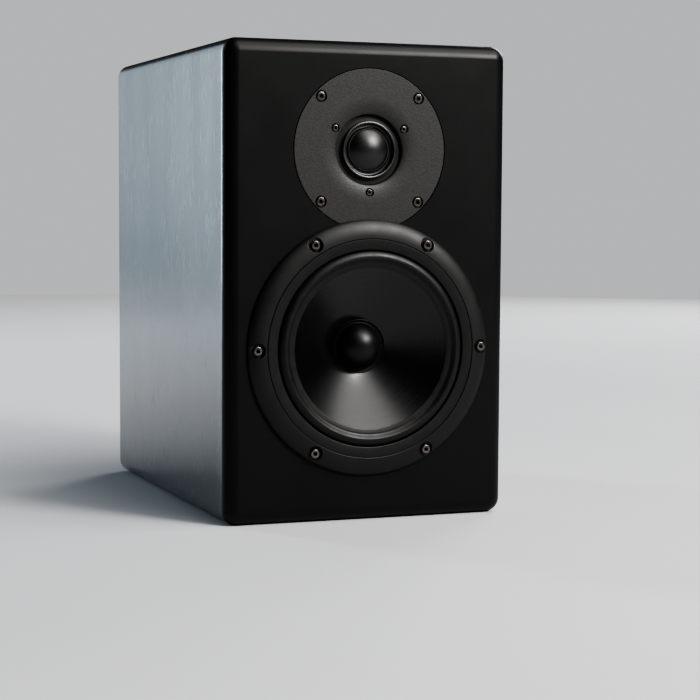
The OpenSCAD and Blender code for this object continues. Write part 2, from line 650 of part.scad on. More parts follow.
// Foam under the flange, set in a little so that it doesn't show
module terminal_cup_gasket() color([0.15, 0.15, 0.15]) placed() translate([0, 0, cup_z]) {
    difference() {
        translate([-cup_flange.x / 2 + 2, cabinet_d, -cup_flange.y / 2 + 2])
            cube([cup_flange.x - 4, cup_gasket_t, cup_flange.y - 4]);
        translate([-cup_hole.x / 2, cabinet_d - 1, -cup_hole.y / 2]) cube([cup_hole.x, 3, cup_hole.y]);
        cup_corners(cabinet_d - 1) cylinder(r = cup_screw_r + 0.1, h = 4);
    }
}

module terminal_cup_screws() color([0.3, 0.3, 0.3]) placed() translate([0, 0, cup_z])
    cup_corners(cabinet_d) difference() {
        union() {
            translate([0, 0, sink[0] + 0.1])
                cylinder(r1 = cup_screw_r, r2 = sink[1] - 0.3, h = flange_t - sink[0] - 0.1);
            translate([0, 0, -12]) cylinder(r = cup_screw_r, h = 12 + sink[0] + 0.2);
        }
        for (a = [0, 90]) rotate([0, 0, a]) translate([-0.4, -1.8, 2]) cube([0.8, 3.6, 2]);
    }

// Children on a binding post's axis, pointing backwards
module on_post(s) placed() translate([s * post_pitch / 2, 0, cup_z]) rotate([-90, 0, 0]) children();

// Threaded stud with its collar and the banana socket bored in its end
module post_stud(s) color([0.85, 0.68, 0.3]) on_post(s) difference() {
    union() {
        translate([0, 0, cup_floor - stud_in]) cylinder(r = stud_r, h = stud_end - cup_floor + stud_in);
        translate([0, 0, cup_floor]) cylinder(r = 6.5, h = collar_t);
    }
    translate([0, 0, stud_end - socket_l]) cylinder(r = socket_r, h = socket_l + 1);
}

module red_post() post_stud(-1);
module black_post() post_stud(1);

module post_nuts() color([0.85, 0.68, 0.3]) for (s = [-1, 1])
    on_post(s) translate([0, 0, cup_floor - cup_wall - nut_t]) difference() {
        cylinder(r = 5.6, h = nut_t, $fn = 6);
        translate([0, 0, -1]) cylinder(r = stud_r + fit, h = nut_t + 2);
    }

// Loose washer that the knob presses on a bare wire or a spade
module post_washer(s) color([0.85, 0.68, 0.3]) on_post(s)
    ring(stud_r + 0.3, 6.2, cup_floor + collar_t + play, cup_floor + collar_t + play + washer_t);

// Knurled knob that runs on the stud's thread
module post_knob(s, c) color(c) on_post(s) {
    base = cup_floor + collar_t + washer_t + 2 * play;
    difference() {
        rotate_extrude() polygon([
            [stud_r + fit, base], [knob_r - 0.6, base], [knob_r, base + 0.6],
            [knob_r, base + knob_l - 1], [knob_r - 1, base + knob_l], [stud_r + fit, base + knob_l]
        ]);
        for (i = [0:flutes - 1]) rotate([0, 0, 360 / flutes * i])
            translate([knob_r + 0.25, 0, base + 3]) cylinder(r = 0.9, h = knob_l, $fn = 24);
    }
}

module red_washer() post_washer(-1);
module black_washer() post_washer(1);
module red_knob() post_knob(-1, [0.7, 0.08, 0.06]);
module black_knob() post_knob(1, [0.06, 0.06, 0.06]);

front_baffle();
left_panel();
right_panel();
top_panel();
bottom_panel();
back_panel();
brace();
damping_foam();
woofer_basket();
woofer_mounting_gasket();
woofer_trim_ring();
woofer_gasket_ring();
woofer_surround();
woofer_cone();
woofer_dust_cap();
woofer_voice_coil();
woofer_spider();
woofer_top_plate();
woofer_magnet();
woofer_pole_plate();
woofer_terminals();
woofer_lead_wires();
woofer_screws();
tweeter_faceplate();
tweeter_mounting_gasket();
tweeter_inner_ring();
tweeter_bezel();
tweeter_surround();
tweeter_dome();
tweeter_voice_coil();
tweeter_top_plate();
tweeter_magnet();
tweeter_pole_plate();
tweeter_rear_chamber();
tweeter_terminals();
tweeter_screws();
tweeter_plate_screws();
crossover_board();
crossover_spacers();
crossover_screws();
bass_inductor();
treble_inductor();
crossover_capacitors();
crossover_resistors();
woofer_wires();
tweeter_wires();
input_wires();
port_tube();
terminal_cup();
terminal_cup_gasket();
terminal_cup_screws();
red_post();
black_post();
post_nuts();
red_washer();
red_knob();
black_washer();
black_knob();
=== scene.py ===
import math

import bmesh
import bpy
from mathutils import Matrix, Vector


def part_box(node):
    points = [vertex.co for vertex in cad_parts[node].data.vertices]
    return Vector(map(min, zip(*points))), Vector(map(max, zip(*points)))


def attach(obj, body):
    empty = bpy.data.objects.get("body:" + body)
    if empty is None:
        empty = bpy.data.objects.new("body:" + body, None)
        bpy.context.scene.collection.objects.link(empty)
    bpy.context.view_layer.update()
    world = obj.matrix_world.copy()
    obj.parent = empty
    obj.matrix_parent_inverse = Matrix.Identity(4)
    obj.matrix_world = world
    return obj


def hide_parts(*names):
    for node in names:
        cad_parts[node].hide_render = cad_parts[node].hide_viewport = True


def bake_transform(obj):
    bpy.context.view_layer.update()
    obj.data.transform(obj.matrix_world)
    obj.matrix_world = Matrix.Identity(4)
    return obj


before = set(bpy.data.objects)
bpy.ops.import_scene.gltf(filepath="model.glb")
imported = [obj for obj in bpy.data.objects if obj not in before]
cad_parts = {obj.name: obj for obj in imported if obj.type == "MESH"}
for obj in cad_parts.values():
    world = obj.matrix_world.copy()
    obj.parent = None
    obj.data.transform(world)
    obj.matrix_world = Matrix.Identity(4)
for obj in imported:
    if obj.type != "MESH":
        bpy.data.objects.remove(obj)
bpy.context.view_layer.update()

# ---------- places, all from the frame ----------

MM = 0.001
baffle_low, baffle_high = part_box("front_baffle")
FRONT = baffle_low.y                       # the baffle's face
WIDTH = baffle_high.x - baffle_low.x
HEIGHT = baffle_high.z - baffle_low.z
BAFFLE_T = baffle_high.y - baffle_low.y
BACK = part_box("left_panel")[1].y           # the cabinet's back face
EDGE = 9.5 * MM                            # radius of the cabinet's rounded edges


def centre_of(node):
    low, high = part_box(node)
    return (low + high) / 2


WOOFER = centre_of("woofer_trim_ring")
TWEETER = centre_of("tweeter_faceplate")
PORT = centre_of("port_tube")
CUP = centre_of("terminal_cup")
RED = centre_of("red_knob")
BLACK = centre_of("black_knob")

# Sizes below are millimetres. Depths run back from the baffle's face, so what stands proud is negative.
SCREW_PCD = 155                            # circles the screws stand on
TWEETER_PCD = 95
SMALL_PCD = 54.7
HEAD_R, KEY_R = 2.9, 1.35                  # heads and keys of the drivers' mounting screws
SMALL_HEAD_R, SMALL_KEY_R = 2.0, 0.9
PORT_HOLE_R = 27.3                         # the port's hole in the back panel
PORT_BORE_R = 25

WOOFER_CUTOUT_R = 71
TRIM_INNER_R = 71.1
FLANGE_D = -1.8                            # front of the frame's flange, which carries ring and surround
LIP_D = -2.6                               # front of the surround's outer lip
POCKET_D = -2.6                            # floor of the trim ring's pockets
WOOFER_HEAD_D = -5.5
ROLL_INNER, ROLL_CREST, ROLL_OUTER = 55.4, 59.3, 63.6
ROLL_INNER_D, ROLL_FRONT, ROLL_OUTER_D = -5.0, -6.96, -2.8
ROLL_T = 0.8
CONE_EDGE, CONE_BASE, CONE_NECK = 52.7, -4.0, 13.3
CONE_DEPTH, CONE_BOW = 22.7, 1.1
CAP_R = 16.0

PLATE_R, PLATE_T = 52, 4                   # the tweeter's face plate
RECESS_R, RECESS_D = 52.3, 4.5             # and its recess in the baffle
TWEETER_CUTOUT_R = 37.5
MOUTH_R = 22.7
PLATE_SEAT_D, SMALL_SEAT_D = 2.6, 2.2      # where the screws' heads rest
DOME_R, DOME_EDGE_D = 13.4, 2.8

# ---------- mesh helpers ----------


def new_object(name, bm, sharp_deg=30):
    """An object at the origin from a bmesh, shaded smooth with sharp edges above an angle."""
    bmesh.ops.recalc_face_normals(bm, faces=bm.faces)
    mesh = bpy.data.meshes.new(name)
    bm.to_mesh(mesh)
    bm.free()
    mesh.polygons.foreach_set("use_smooth", [True] * len(mesh.polygons))
    mesh.set_sharp_from_angle(angle=math.radians(sharp_deg))
    obj = bpy.data.objects.new(name, mesh)
    bpy.context.scene.collection.objects.link(obj)
    return obj


def arc(cx, cy, r, start, end, steps):
    """Points on an arc, angles in degrees."""
    angles = [math.radians(start + (end - start) * i / steps) for i in range(steps + 1)]
    return [(cx + r * math.cos(a), cy + r * math.sin(a)) for a in angles]


def filleted(points, steps=4):
    """A closed outline; a point's third number, if any, is the radius that rounds its corner."""
    out = []
    for i, p in enumerate(points):
        if len(p) < 3 or p[2] <= 0:
            out.append((p[0], p[1]))
            continue
        here = Vector(p[:2])
        before = Vector(points[i - 1][:2]) - here
        after = Vector(points[(i + 1) % len(points)][:2]) - here
        half = before.angle(after) / 2
        cut = min(p[2] / math.tan(half), before.length * 0.49, after.length * 0.49)
        radius = cut * math.tan(half)
        inwards = (before.normalized() + after.normalized()).normalized()
        middle = here + inwards * (radius / math.sin(half))
        a = here + before.normalized() * cut - middle
        b = here + after.normalized() * cut - middle
        turn = a.angle_signed(b)
        for k in range(steps + 1):
            t = -turn * k / steps
            out.append((
                middle.x + a.x * math.cos(t) - a.y * math.sin(t),
                middle.y + a.x * math.sin(t) + a.y * math.cos(t),
            ))
    return out


def lathe(name, outline, axis, segments=192, swell=None, sharp_deg=30):
    """A closed outline of (radius, depth) in millimetres, turned about an axis along Y.
    swell(angle, radius, depth) may change a point's radius."""
    bm = bmesh.new()
    rings = []
    for r, d in outline:
        y = FRONT + d * MM
        if r < 1e-6:
            rings.append([bm.verts.new((axis.x, y, axis.z))])
            continue
        ring = []
        for k in range(segments):
            a = 2 * math.pi * k / segments
            rr = (swell(a, r, d) if swell else r) * MM
            ring.append(bm.verts.new((axis.x + rr * math.cos(a), y, axis.z + rr * math.sin(a))))
        rings.append(ring)
    for i, ring in enumerate(rings):
        other = rings[(i + 1) % len(rings)]
        for k in range(segments):
            n = (k + 1) % segments
            if len(ring) == 1 and len(other) == 1:
                break
            if len(ring) == 1:
                bm.faces.new((ring[0], other[k], other[n]))
            elif len(other) == 1:
                bm.faces.new((ring[k], other[0], ring[n]))
            else:
                bm.faces.new((ring[k], other[k], other[n], ring[n]))
    return new_object(name, bm, sharp_deg)


def applied(obj, sharp_deg=30):
    """Makes the object's modifiers part of its mesh."""
    graph = bpy.context.evaluated_depsgraph_get()
    mesh = bpy.data.meshes.new_from_object(obj.evaluated_get(graph))
    obj.modifiers.clear()
    obj.data = mesh
    mesh.polygons.foreach_set("use_smooth", [True] * len(mesh.polygons))
    mesh.set_sharp_from_angle(angle=math.radians(sharp_deg))


def cut(obj, cutters, sharp_deg=30):
    """Takes the cutters' shapes out of obj and removes the cutters."""
    tool = joined("cutter", cutters)
    modifier = obj.modifiers.new("cut", "BOOLEAN")
    modifier.operation = "DIFFERENCE"
    modifier.solver = "EXACT"
    modifier.object = tool
    applied(obj, sharp_deg)
    bpy.data.objects.remove(tool)


def joined(name, objects):
    """One object made of several."""
    bm = bmesh.new()
    for o in objects:
        mesh = o.data.copy()
        mesh.transform(o.matrix_world)
        bm.from_mesh(mesh)
        bpy.data.meshes.remove(mesh)
    materials = [m for m in objects[0].data.materials]
    for o in objects:
        bpy.data.objects.remove(o)
    result = new_object(name, bm)
    for m in materials:
        result.data.materials.append(m)
    return result


def spots(axis, pcd, angles):
    """Axes of the holes on a circle round a driver's axis, angles from +X towards +Z."""
    r = pcd / 2 * MM
    turns = [math.radians(a) for a in angles]
    return [Vector((axis.x + r * math.cos(a), axis.y, axis.z + r * math.sin(a))) for a in turns]


def behind_baffle(y):
    """Depth in millimetres of a place along Y."""
    return (y - FRONT) / MM


def plug(r, d0, d1, axis, segments):
    """A plain cylinder used as a cutter, radius and depths in millimetres."""
    return lathe("plug", [(0, d0), (r, d0), (r, d1), (0, d1)], axis, segments)


def finish_piece(piece, body, nodes, slot, *materials):
    """Puts a piece on its body in place of CAD nodes, with its materials; the slot is not used."""
    mesh = piece.data
    slots = [face.material_index for face in mesh.polygons]
    mesh.materials.clear()
    for m in materials:
        mesh.materials.append(m)
    mesh.polygons.foreach_set("material_index", slots)
    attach(piece, body)
    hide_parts(*nodes)


# ---------- material helpers ----------


class Surface:
    """A Principled material with small helpers for its nodes. Coordinates are metres in the row frame."""

    def __init__(self, name, color, roughness, metallic=0.0, **sockets):
        self.mat = bpy.data.materials.new(name)
        self.mat.use_nodes = True
        self.nodes = self.mat.node_tree.nodes
        self.links = self.mat.node_tree.links
        self.bsdf = self.nodes["Principled BSDF"]
        self.put("Base Color", (*color, 1.0))
        self.put("Roughness", roughness)
        self.put("Metallic", metallic)
        for socket, value in sockets.items():
            self.put(socket.replace("_", " "), value)
        self.place = self.nodes.new("ShaderNodeTexCoord").outputs["Object"]

    def put(self, socket, value):
        if isinstance(value, bpy.types.NodeSocket):
            self.links.new(value, self.bsdf.inputs[socket])
        else:
            self.bsdf.inputs[socket].default_value = value

    def node(self, kind, inputs, **settings):
        node = self.nodes.new(kind)
        for key, value in settings.items():
            setattr(node, key, value)
        for key, value in inputs.items():
            if isinstance(value, bpy.types.NodeSocket):
                self.links.new(value, node.inputs[key])
            else:
                node.inputs[key].default_value = value
        return node

    def math(self, operation, a, b=0.0):
        return self.node("ShaderNodeMath", {0: a, 1: b}, operation=operation).outputs[0]

    def stretched(self, x, y, z):
        return self.node("ShaderNodeMapping", {"Vector": self.place, "Scale": (x, y, z)}).outputs[0]

    def noise(self, scale, detail=2.0, rough=0.5, vector=None):
        inputs = {
            "Vector": vector or self.place, "Scale": scale, "Detail": detail, "Roughness": rough,
        }
        return self.node("ShaderNodeTexNoise", inputs).outputs["Fac"]

    def ramp(self, value, *stops):
        """Colour ramp; each stop is (place, grey) or (place, (r, g, b))."""
        node = self.node("ShaderNodeValToRGB", {"Fac": value})
        elements = node.color_ramp.elements
        while len(elements) < len(stops):
            elements.new(0.5)
        for element, (place, color) in zip(elements, stops):
            element.position = place
            rgb = (color,) * 3 if isinstance(color, (int, float)) else color
            element.color = (*rgb, 1.0)
        return node.outputs["Color"]

    def span(self, value, low, high, out_low, out_high):
        inputs = {
            "Value": value, "From Min": low, "From Max": high, "To Min": out_low, "To Max": out_high,
        }
        return self.node("ShaderNodeMapRange", inputs).outputs[0]

    def radius(self, axis):
        """Distance from an axis along Y, in metres."""
        kind = "ShaderNodeVectorMath"
        moved = self.node(kind, {0: self.place, 1: tuple(axis)}, operation="SUBTRACT")
        flat = self.node(kind, {0: moved.outputs[0], 1: (1, 0, 1)}, operation="MULTIPLY")
        return self.node(kind, {0: flat.outputs[0]}, operation="LENGTH").outputs["Value"]

    def bump(self, height, strength, distance):
        inputs = {"Height": height, "Strength": strength, "Distance": distance}
        above = self.bsdf.inputs["Normal"]
        if above.links:
            inputs["Normal"] = above.links[0].from_socket
        self.put("Normal", self.node("ShaderNodeBump", inputs).outputs[0])

    def mottled(self, dark, light, scale, detail=3.0):
        """Base colour that wanders between two colours."""
        self.put("Base Color", self.ramp(self.noise(scale, detail), (0.3, dark), (0.7, light)))

    def worn_gloss(self, low, high, scale, detail=4.0):
        """Roughness that wanders between two values."""
        self.put("Roughness", self.span(self.noise(scale, detail, 0.6), 0.3, 0.7, low, high))


def satin_lacquer():
    s = Surface("satin_lacquer", (0.0035, 0.0035, 0.0036), 0.42, IOR=1.33)
    s.mottled((0.003, 0.003, 0.0031), (0.0042, 0.0042, 0.0043), 9)
    s.worn_gloss(0.4, 0.46, 34)
    s.bump(s.noise(520, 2), 0.035, 0.0006)
    s.bump(s.noise(2600, 1), 0.05, 0.0001)
    return s.mat


def stained_veneer(name, along, coat_rough):
    """Black stained veneer under a thin coat, with short open pores along the given axis."""
    s = Surface(name, (0.016, 0.0165, 0.018), 0.24, Coat_Weight=0.7, Coat_Roughness=coat_rough,
                Coat_IOR=1.55)
    dash = {"Z": (900, 900, 70), "X": (70, 900, 900)}[along]
    broad = {"Z": (45, 45, 9), "X": (9, 45, 45)}[along]
    pores = s.noise(1.0, 1, 0.5, s.stretched(*dash))
    figure = s.noise(1.0, 3, 0.5, s.stretched(*broad))
    patches = s.span(s.noise(38, 1), 0.42, 0.62, 0.0, 1.0)
    dark, light = (0.012, 0.0125, 0.0135), (0.019, 0.0195, 0.0215)
    s.put("Base Color", s.ramp(figure, (0.28, dark), (0.72, light)))
    open_pore = s.math("MULTIPLY", s.span(pores, 0.62, 0.74, 0.0, 1.0), patches)
    smooth = s.span(figure, 0.3, 0.7, 0.22, 0.27)
    s.put("Roughness", s.math("ADD", smooth, s.math("MULTIPLY", open_pore, 0.25)))
    s.bump(s.math("SUBTRACT", 1.0, open_pore), 0.3, 0.00012)
    s.bump(figure, 0.03, 0.0006)
    s.bump(s.noise(3.0, 1, 0.5, s.stretched(6, 6, 2)), 0.04, 0.004)
    return s.mat


def back_paint():
    s = Surface("back_paint", (0.02, 0.02, 0.021), 0.55)
    s.mottled((0.016, 0.016, 0.017), (0.025, 0.025, 0.026), 40)
    s.worn_gloss(0.5, 0.66, 120)
    s.bump(s.noise(900, 3), 0.18, 0.0002)
    return s.mat


def trim_plastic():
    s = Surface("trim_plastic", (0.0045, 0.0045, 0.0046), 0.47, IOR=1.45)
    s.mottled((0.0035, 0.0035, 0.0036), (0.0055, 0.0055, 0.0057), 60)
    s.worn_gloss(0.44, 0.52, 90)
    s.bump(s.noise(2400, 2), 0.16, 0.00006)
    return s.mat


def soft_rubber(name, shade, rough):
    s = Surface(name, (shade,) * 3, rough, IOR=1.42)
    s.mottled((shade * 0.8,) * 3, (shade * 1.25,) * 3, 110)
    s.worn_gloss(rough - 0.05, rough + 0.07, 150)
    s.bump(s.noise(3200, 2), 0.12, 0.00005)
    return s.mat


def cone_polymer():
    """Glossy black cone with fine concentric lines, which spread its highlights into wedges."""
    s = Surface("cone_polymer", (0.003, 0.003, 0.0032), 0.27, Anisotropic=0.9, IOR=1.55)
    tangent = s.nodes.new("ShaderNodeTangent")
    tangent.direction_type = "RADIAL"
    tangent.axis = "Y"
    s.put("Tangent", tangent.outputs[0])
    r = s.radius(WOOFER)
    line_pitch = 0.9 * MM
    lines = s.math("SINE", s.math("MULTIPLY", r, 2 * math.pi / line_pitch))
    ring_noise = s.node("ShaderNodeTexNoise", {"W": r, "Scale": 900.0, "Detail": 3.0},
                        noise_dimensions="1D").outputs["Fac"]
    s.bump(lines, 0.02, 0.00003)
    s.bump(ring_noise, 0.035, 0.00006)
    s.put("Roughness", s.span(ring_noise, 0.3, 0.7, 0.2, 0.27))
    return s.mat


def cap_polymer():
    s = Surface("cap_polymer", (0.0035, 0.0035, 0.0037), 0.38, IOR=1.42)
    s.worn_gloss(0.35, 0.43, 130)
    s.bump(s.noise(2600, 2), 0.05, 0.00005)
    return s.mat


def powder_coat():
    """Fine-grained charcoal powder coat."""
    s = Surface("powder_coat", (0.036, 0.034, 0.033), 0.5)
    dark, light = (0.011, 0.0105, 0.01), (0.0235, 0.0223, 0.0214)
    s.put("Base Color", s.ramp(s.noise(1500, 2), (0.35, dark), (0.7, light)))
    s.worn_gloss(0.44, 0.58, 900)
    s.bump(s.noise(1150, 3, 0.65), 0.5, 0.00022)
    return s.mat


def satin_metal(name, color, rough, axis):
    """Turned metal with fine rings about an axis."""
    s = Surface(name, color, rough, 1.0, Anisotropic=0.4)
    r = s.radius(axis)
    rings = s.node("ShaderNodeTexNoise", {"W": r, "Scale": 5000.0, "Detail": 2.0},
                   noise_dimensions="1D")
    s.bump(rings.outputs["Fac"], 0.1, 0.00003)
    s.worn_gloss(rough - 0.05, rough + 0.06, 300)
    return s.mat


def coated_silk():
    """Woven dome under a glossy damping coat."""
    s = Surface("coated_silk", (0.002, 0.002, 0.0022), 0.4, IOR=1.6)
    thread_pitch = 0.45 * MM
    weave = []
    for axis in ("X", "Z"):
        along = s.node("ShaderNodeSeparateXYZ", {0: s.place}).outputs[axis]
        weave.append(s.math("SINE", s.math("MULTIPLY", along, 2 * math.pi / thread_pitch)))
    s.bump(s.math("MULTIPLY", weave[0], weave[1]), 0.1, 0.00003)
    s.bump(s.noise(700, 2), 0.08, 0.0001)
    s.worn_gloss(0.37, 0.43, 240)
    return s.mat


def plain_metal(name, color, rough, grain=700):
    s = Surface(name, color, rough, 1.0)
    s.worn_gloss(rough - 0.07, rough + 0.1, grain)
    s.bump(s.noise(2200, 2), 0.07, 0.00005)
    return s.mat


def moulded(name, color, rough, grain=0.12):
    s = Surface(name, color, rough)
    s.mottled(tuple(c * 0.85 for c in color), tuple(c * 1.18 for c in color), 70)
    s.worn_gloss(rough - 0.05, rough + 0.08, 200)
    s.bump(s.noise(1500, 3), grain, 0.0001)
    return s.mat


def clear_red():
    s = Surface("clear_red", (0.52, 0.012, 0.008), 0.12, IOR=1.49, Coat_Weight=0.3,
                Transmission_Weight=0.25)
    s.worn_gloss(0.1, 0.2, 260)
    s.bump(s.noise(900, 2), 0.03, 0.0001)
    return s.mat


def foam():
    s = Surface("acoustic_foam", (0.05, 0.05, 0.053), 0.95)
    cells = s.node("ShaderNodeTexVoronoi", {"Vector": s.place, "Scale": 600.0}).outputs["Distance"]
    s.put("Base Color", s.ramp(cells, (0.1, 0.02), (0.7, 0.075)))
    s.bump(cells, 0.9, 0.0015)
    return s.mat


def raw_board():
    s = Surface("raw_board", (0.42, 0.31, 0.2), 0.85)
    s.mottled((0.36, 0.26, 0.165), (0.5, 0.38, 0.26), 260)
    s.bump(s.noise(1400, 3), 0.35, 0.0002)
    return s.mat


MATERIALS = {
    "lacquer": satin_lacquer(),
    "side": stained_veneer("stained_veneer_side", "Z", 0.16),
    "level": stained_veneer("stained_veneer_level", "X", 0.27),
    "back": back_paint(),
    "trim": trim_plastic(),
    "gasket": soft_rubber("gasket_rubber", 0.003, 0.5),
    "surround": soft_rubber("surround_rubber", 0.0045, 0.44),
    "seal": soft_rubber("seal_foam", 0.03, 0.8),
    "cone": cone_polymer(),
    "cap": cap_polymer(),
    "glue": soft_rubber("cone_glue", 0.004, 0.4),
    "plate": powder_coat(),
    "bezel": satin_metal("bezel_metal", (0.13, 0.125, 0.12), 0.38, TWEETER),
    "mouth": soft_rubber("mouth_plastic", 0.003, 0.6),
    "dome": coated_silk(),
    "screw": plain_metal("dark_screw", (0.17, 0.155, 0.135), 0.28),
    # Painted shade: a near-black material that stands for the shadow inside the screws' hexagon sockets.
    "socket": moulded("socket_shadow", (0.012, 0.011, 0.01), 0.6),
    "black": moulded("moulded_black", (0.018, 0.018, 0.019), 0.4),
    "gold": plain_metal("gold_plate", (0.85, 0.6, 0.22), 0.2),
    "red": clear_red(),
    "knob_black": moulded("knob_black", (0.014, 0.014, 0.014), 0.22, 0.04),
    "foam": foam(),
    "board": raw_board(),
    "frame": moulded("frame_paint", (0.02, 0.02, 0.02), 0.45),
    "copper": plain_metal("copper", (0.72, 0.33, 0.17), 0.3),
    "steel": plain_metal("plated_steel", (0.55, 0.56, 0.58), 0.3),
    "ferrite": moulded("ferrite", (0.04, 0.04, 0.042), 0.6, 0.3),
    "spider": moulded("spider_cloth", (0.45, 0.3, 0.1), 0.8, 0.5),
    "tag": moulded("tag_board", (0.32, 0.2, 0.09), 0.5),
    "pcb": moulded("circuit_board", (0.03, 0.14, 0.05), 0.35),
    "nylon": moulded("nylon", (0.7, 0.69, 0.65), 0.45),
    "film": moulded("film_capacitor", (0.6, 0.42, 0.06), 0.25),
    "cement": moulded("cement_resistor", (0.7, 0.68, 0.62), 0.8, 0.4),
    "wire_red": moulded("wire_red", (0.4, 0.02, 0.015), 0.4),
    "wire_black": moulded("wire_black", (0.015, 0.015, 0.015), 0.4),
}

# ---------- cabinet ----------

ARC_STEPS = 12
CUTOUT_STEPS = 256


def rounded_loop(half_w, half_h, r):
    """Corners of a rounded rectangle about (0, HEIGHT / 2), in metres."""
    points = []
    for k, (sx, sz) in enumerate(((1, 1), (-1, 1), (-1, -1), (1, -1))):
        cx, cz = sx * (half_w - r), HEIGHT / 2 + sz * (half_h - r)
        points += arc(cx, cz, max(r, 1e-6), 90 * k, 90 * k + 90, ARC_STEPS)
    return points


def circle(axis, r):
    last = CUTOUT_STEPS - 1
    return arc(axis.x, axis.z, r * MM, 0, 360 * last / CUTOUT_STEPS, last)


def make_baffle():
    """Front baffle with ball corners, the tweeter's recess and both cutouts."""
    bm = bmesh.new()

    def loop(points, y):
        return [bm.verts.new((x, y, z)) for x, z in points]

    def bridge(a, b, slot=0):
        n = len(a)
        for k in range(n):
            face = bm.faces.new((a[k], a[(k + 1) % n], b[(k + 1) % n], b[k]))
            face.material_index = slot

    def filled(loops):
        edges = []
        for ring in loops:
            for k in range(len(ring)):
                pair = (ring[k], ring[(k + 1) % len(ring)])
                edges.append(bm.edges.get(pair) or bm.edges.new(pair))
        bmesh.ops.triangle_fill(bm, edges=edges, use_beauty=True, use_dissolve=False)

    half_w, half_h = WIDTH / 2, HEIGHT / 2
    first = 0.04 * EDGE
    rings = [loop(rounded_loop(half_w - EDGE + first, half_h - EDGE + first, first), FRONT)]
    for i in range(1, ARC_STEPS + 1):
        a = math.pi / 2 * i / ARC_STEPS
        inset = EDGE * (1 - math.sin(a))
        points = rounded_loop(half_w - inset, half_h - inset, EDGE - inset)
        rings.append(loop(points, FRONT + EDGE * (1 - math.cos(a))))
    rings.append(loop(rounded_loop(half_w, half_h, EDGE), FRONT + BAFFLE_T))
    lacquered, veneered = 0, 1
    for i, (a, b) in enumerate(zip(rings, rings[1:])):
        bridge(a, b, veneered if i > ARC_STEPS - 2 else lacquered)
    back_d = BAFFLE_T / MM
    woofer_break, tweeter_break = 0.4, 0.25
    holes = [
        (WOOFER, [
            (WOOFER_CUTOUT_R + woofer_break, 0), (WOOFER_CUTOUT_R, woofer_break),
            (WOOFER_CUTOUT_R, back_d),
        ]),
        (TWEETER, [
            (RECESS_R + tweeter_break, 0), (RECESS_R, tweeter_break), (RECESS_R, RECESS_D),
            (TWEETER_CUTOUT_R, RECESS_D), (TWEETER_CUTOUT_R, back_d),
        ]),
    ]
    mouths, ends = [], []
    for axis, steps in holes:
        walls = [loop(circle(axis, r), FRONT + d * MM) for r, d in steps]
        for a, b in zip(walls, walls[1:]):
            bridge(a, b)
        mouths.append(walls[0])
        ends.append(walls[-1])
    filled([rings[0]] + mouths)
    filled([rings[-1]] + ends)
    piece = new_object("baffle", bm, 35)
    piece.modifiers.new("even", "WEIGHTED_NORMAL").keep_sharp = True
    finish_piece(piece, "cabinet", ["front_baffle"], "front_lacquer", MATERIALS["lacquer"], MATERIALS["side"])


def extruded(name, outline, y0, y1, bevel=0.3 * MM):
    """A closed outline of (x, z) in metres, run from y0 to y1, with its end edges softly broken."""
    bm = bmesh.new()
    near = [bm.verts.new((x, y0, z)) for x, z in outline]
    far = [bm.verts.new((x, y1, z)) for x, z in outline]
    n = len(outline)
    for k in range(n):
        bm.faces.new((near[k], near[(k + 1) % n], far[(k + 1) % n], far[k]))
    ends = [bm.faces.new(near), bm.faces.new(list(reversed(far)))]
    rims = [e for face in ends for e in face.edges]
    bmesh.ops.bevel(
        bm, geom=rims, offset=bevel, segments=2, affect="EDGES", clamp_overlap=True)
    return new_object(name, bm, 28)


def panel_outline(kind):
    """Section of one panel of the mitred sleeve round the cabinet, seen from the front."""
    half_w, t = WIDTH / 2, BAFFLE_T
    if kind in ("left", "right"):
        s = 1 if kind == "right" else -1
        low = [(s * abs(x), z) for x, z in arc(half_w - EDGE, EDGE, EDGE, -45, 0, 6)]
        high = [(x, HEIGHT - z) for x, z in reversed(low)]
        return low + high + [(s * (half_w - t), HEIGHT - t), (s * (half_w - t), t)]
    right = arc(half_w - EDGE, EDGE, EDGE, -45, -90, 6)
    left = [(-x, z) for x, z in reversed(right)]
    low = right + left + [(-half_w + t, t), (half_w - t, t)]
    return low if kind == "bottom" else [(x, HEIGHT - z) for x, z in low]


def make_panels():
    for kind in ("left", "right", "top", "bottom"):
        node = kind + "_panel"
        piece = extruded(kind + "_side", panel_outline(kind), FRONT + BAFFLE_T, BACK)
        finish = MATERIALS["side" if kind in ("left", "right") else "level"]
        finish_piece(piece, "cabinet", [node], "stained_veneer", finish)


def box_cutter(x0, x1, z0, z1, y0, y1):
    bm = bmesh.new()
    bmesh.ops.create_cube(bm, size=1)
    size = Vector((x1 - x0, y1 - y0, z1 - z0))
    middle = Vector(((x0 + x1) / 2, (y0 + y1) / 2, (z0 + z1) / 2))
    bm.transform(Matrix.Translation(middle) @ Matrix.Diagonal(size).to_4x4())
    return new_object("box", bm)


def make_back_panel():
    """Back panel set into the sleeve, with a fine broken edge all round that shows as a seam."""
    low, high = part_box("back_panel")
    gap = 0.15 * MM
    outline = [(low.x + gap, low.z + gap), (high.x - gap, low.z + gap),
               (high.x - gap, high.z - gap), (low.x + gap, high.z - gap)]
    sunk = 0.2 * MM
    piece = extruded("back", outline, low.y, high.y - sunk, 0.8 * MM)
    cup_low, cup_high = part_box("terminal_cup_gasket")
    rim, over = 8 * MM, 10 * MM
    cutters = [
        plug(PORT_HOLE_R, behind_baffle(low.y) - 2, behind_baffle(high.y) + 2, PORT, 128),
        box_cutter(cup_low.x + rim, cup_high.x - rim, cup_low.z + rim, cup_high.z - rim,
                   low.y - over, high.y + over),
    ]
    cut(piece, cutters, 28)
    finish_piece(piece, "cabinet", ["back_panel"], "back_paint", MATERIALS["back"])


# ---------- woofer ----------

HEX = 6


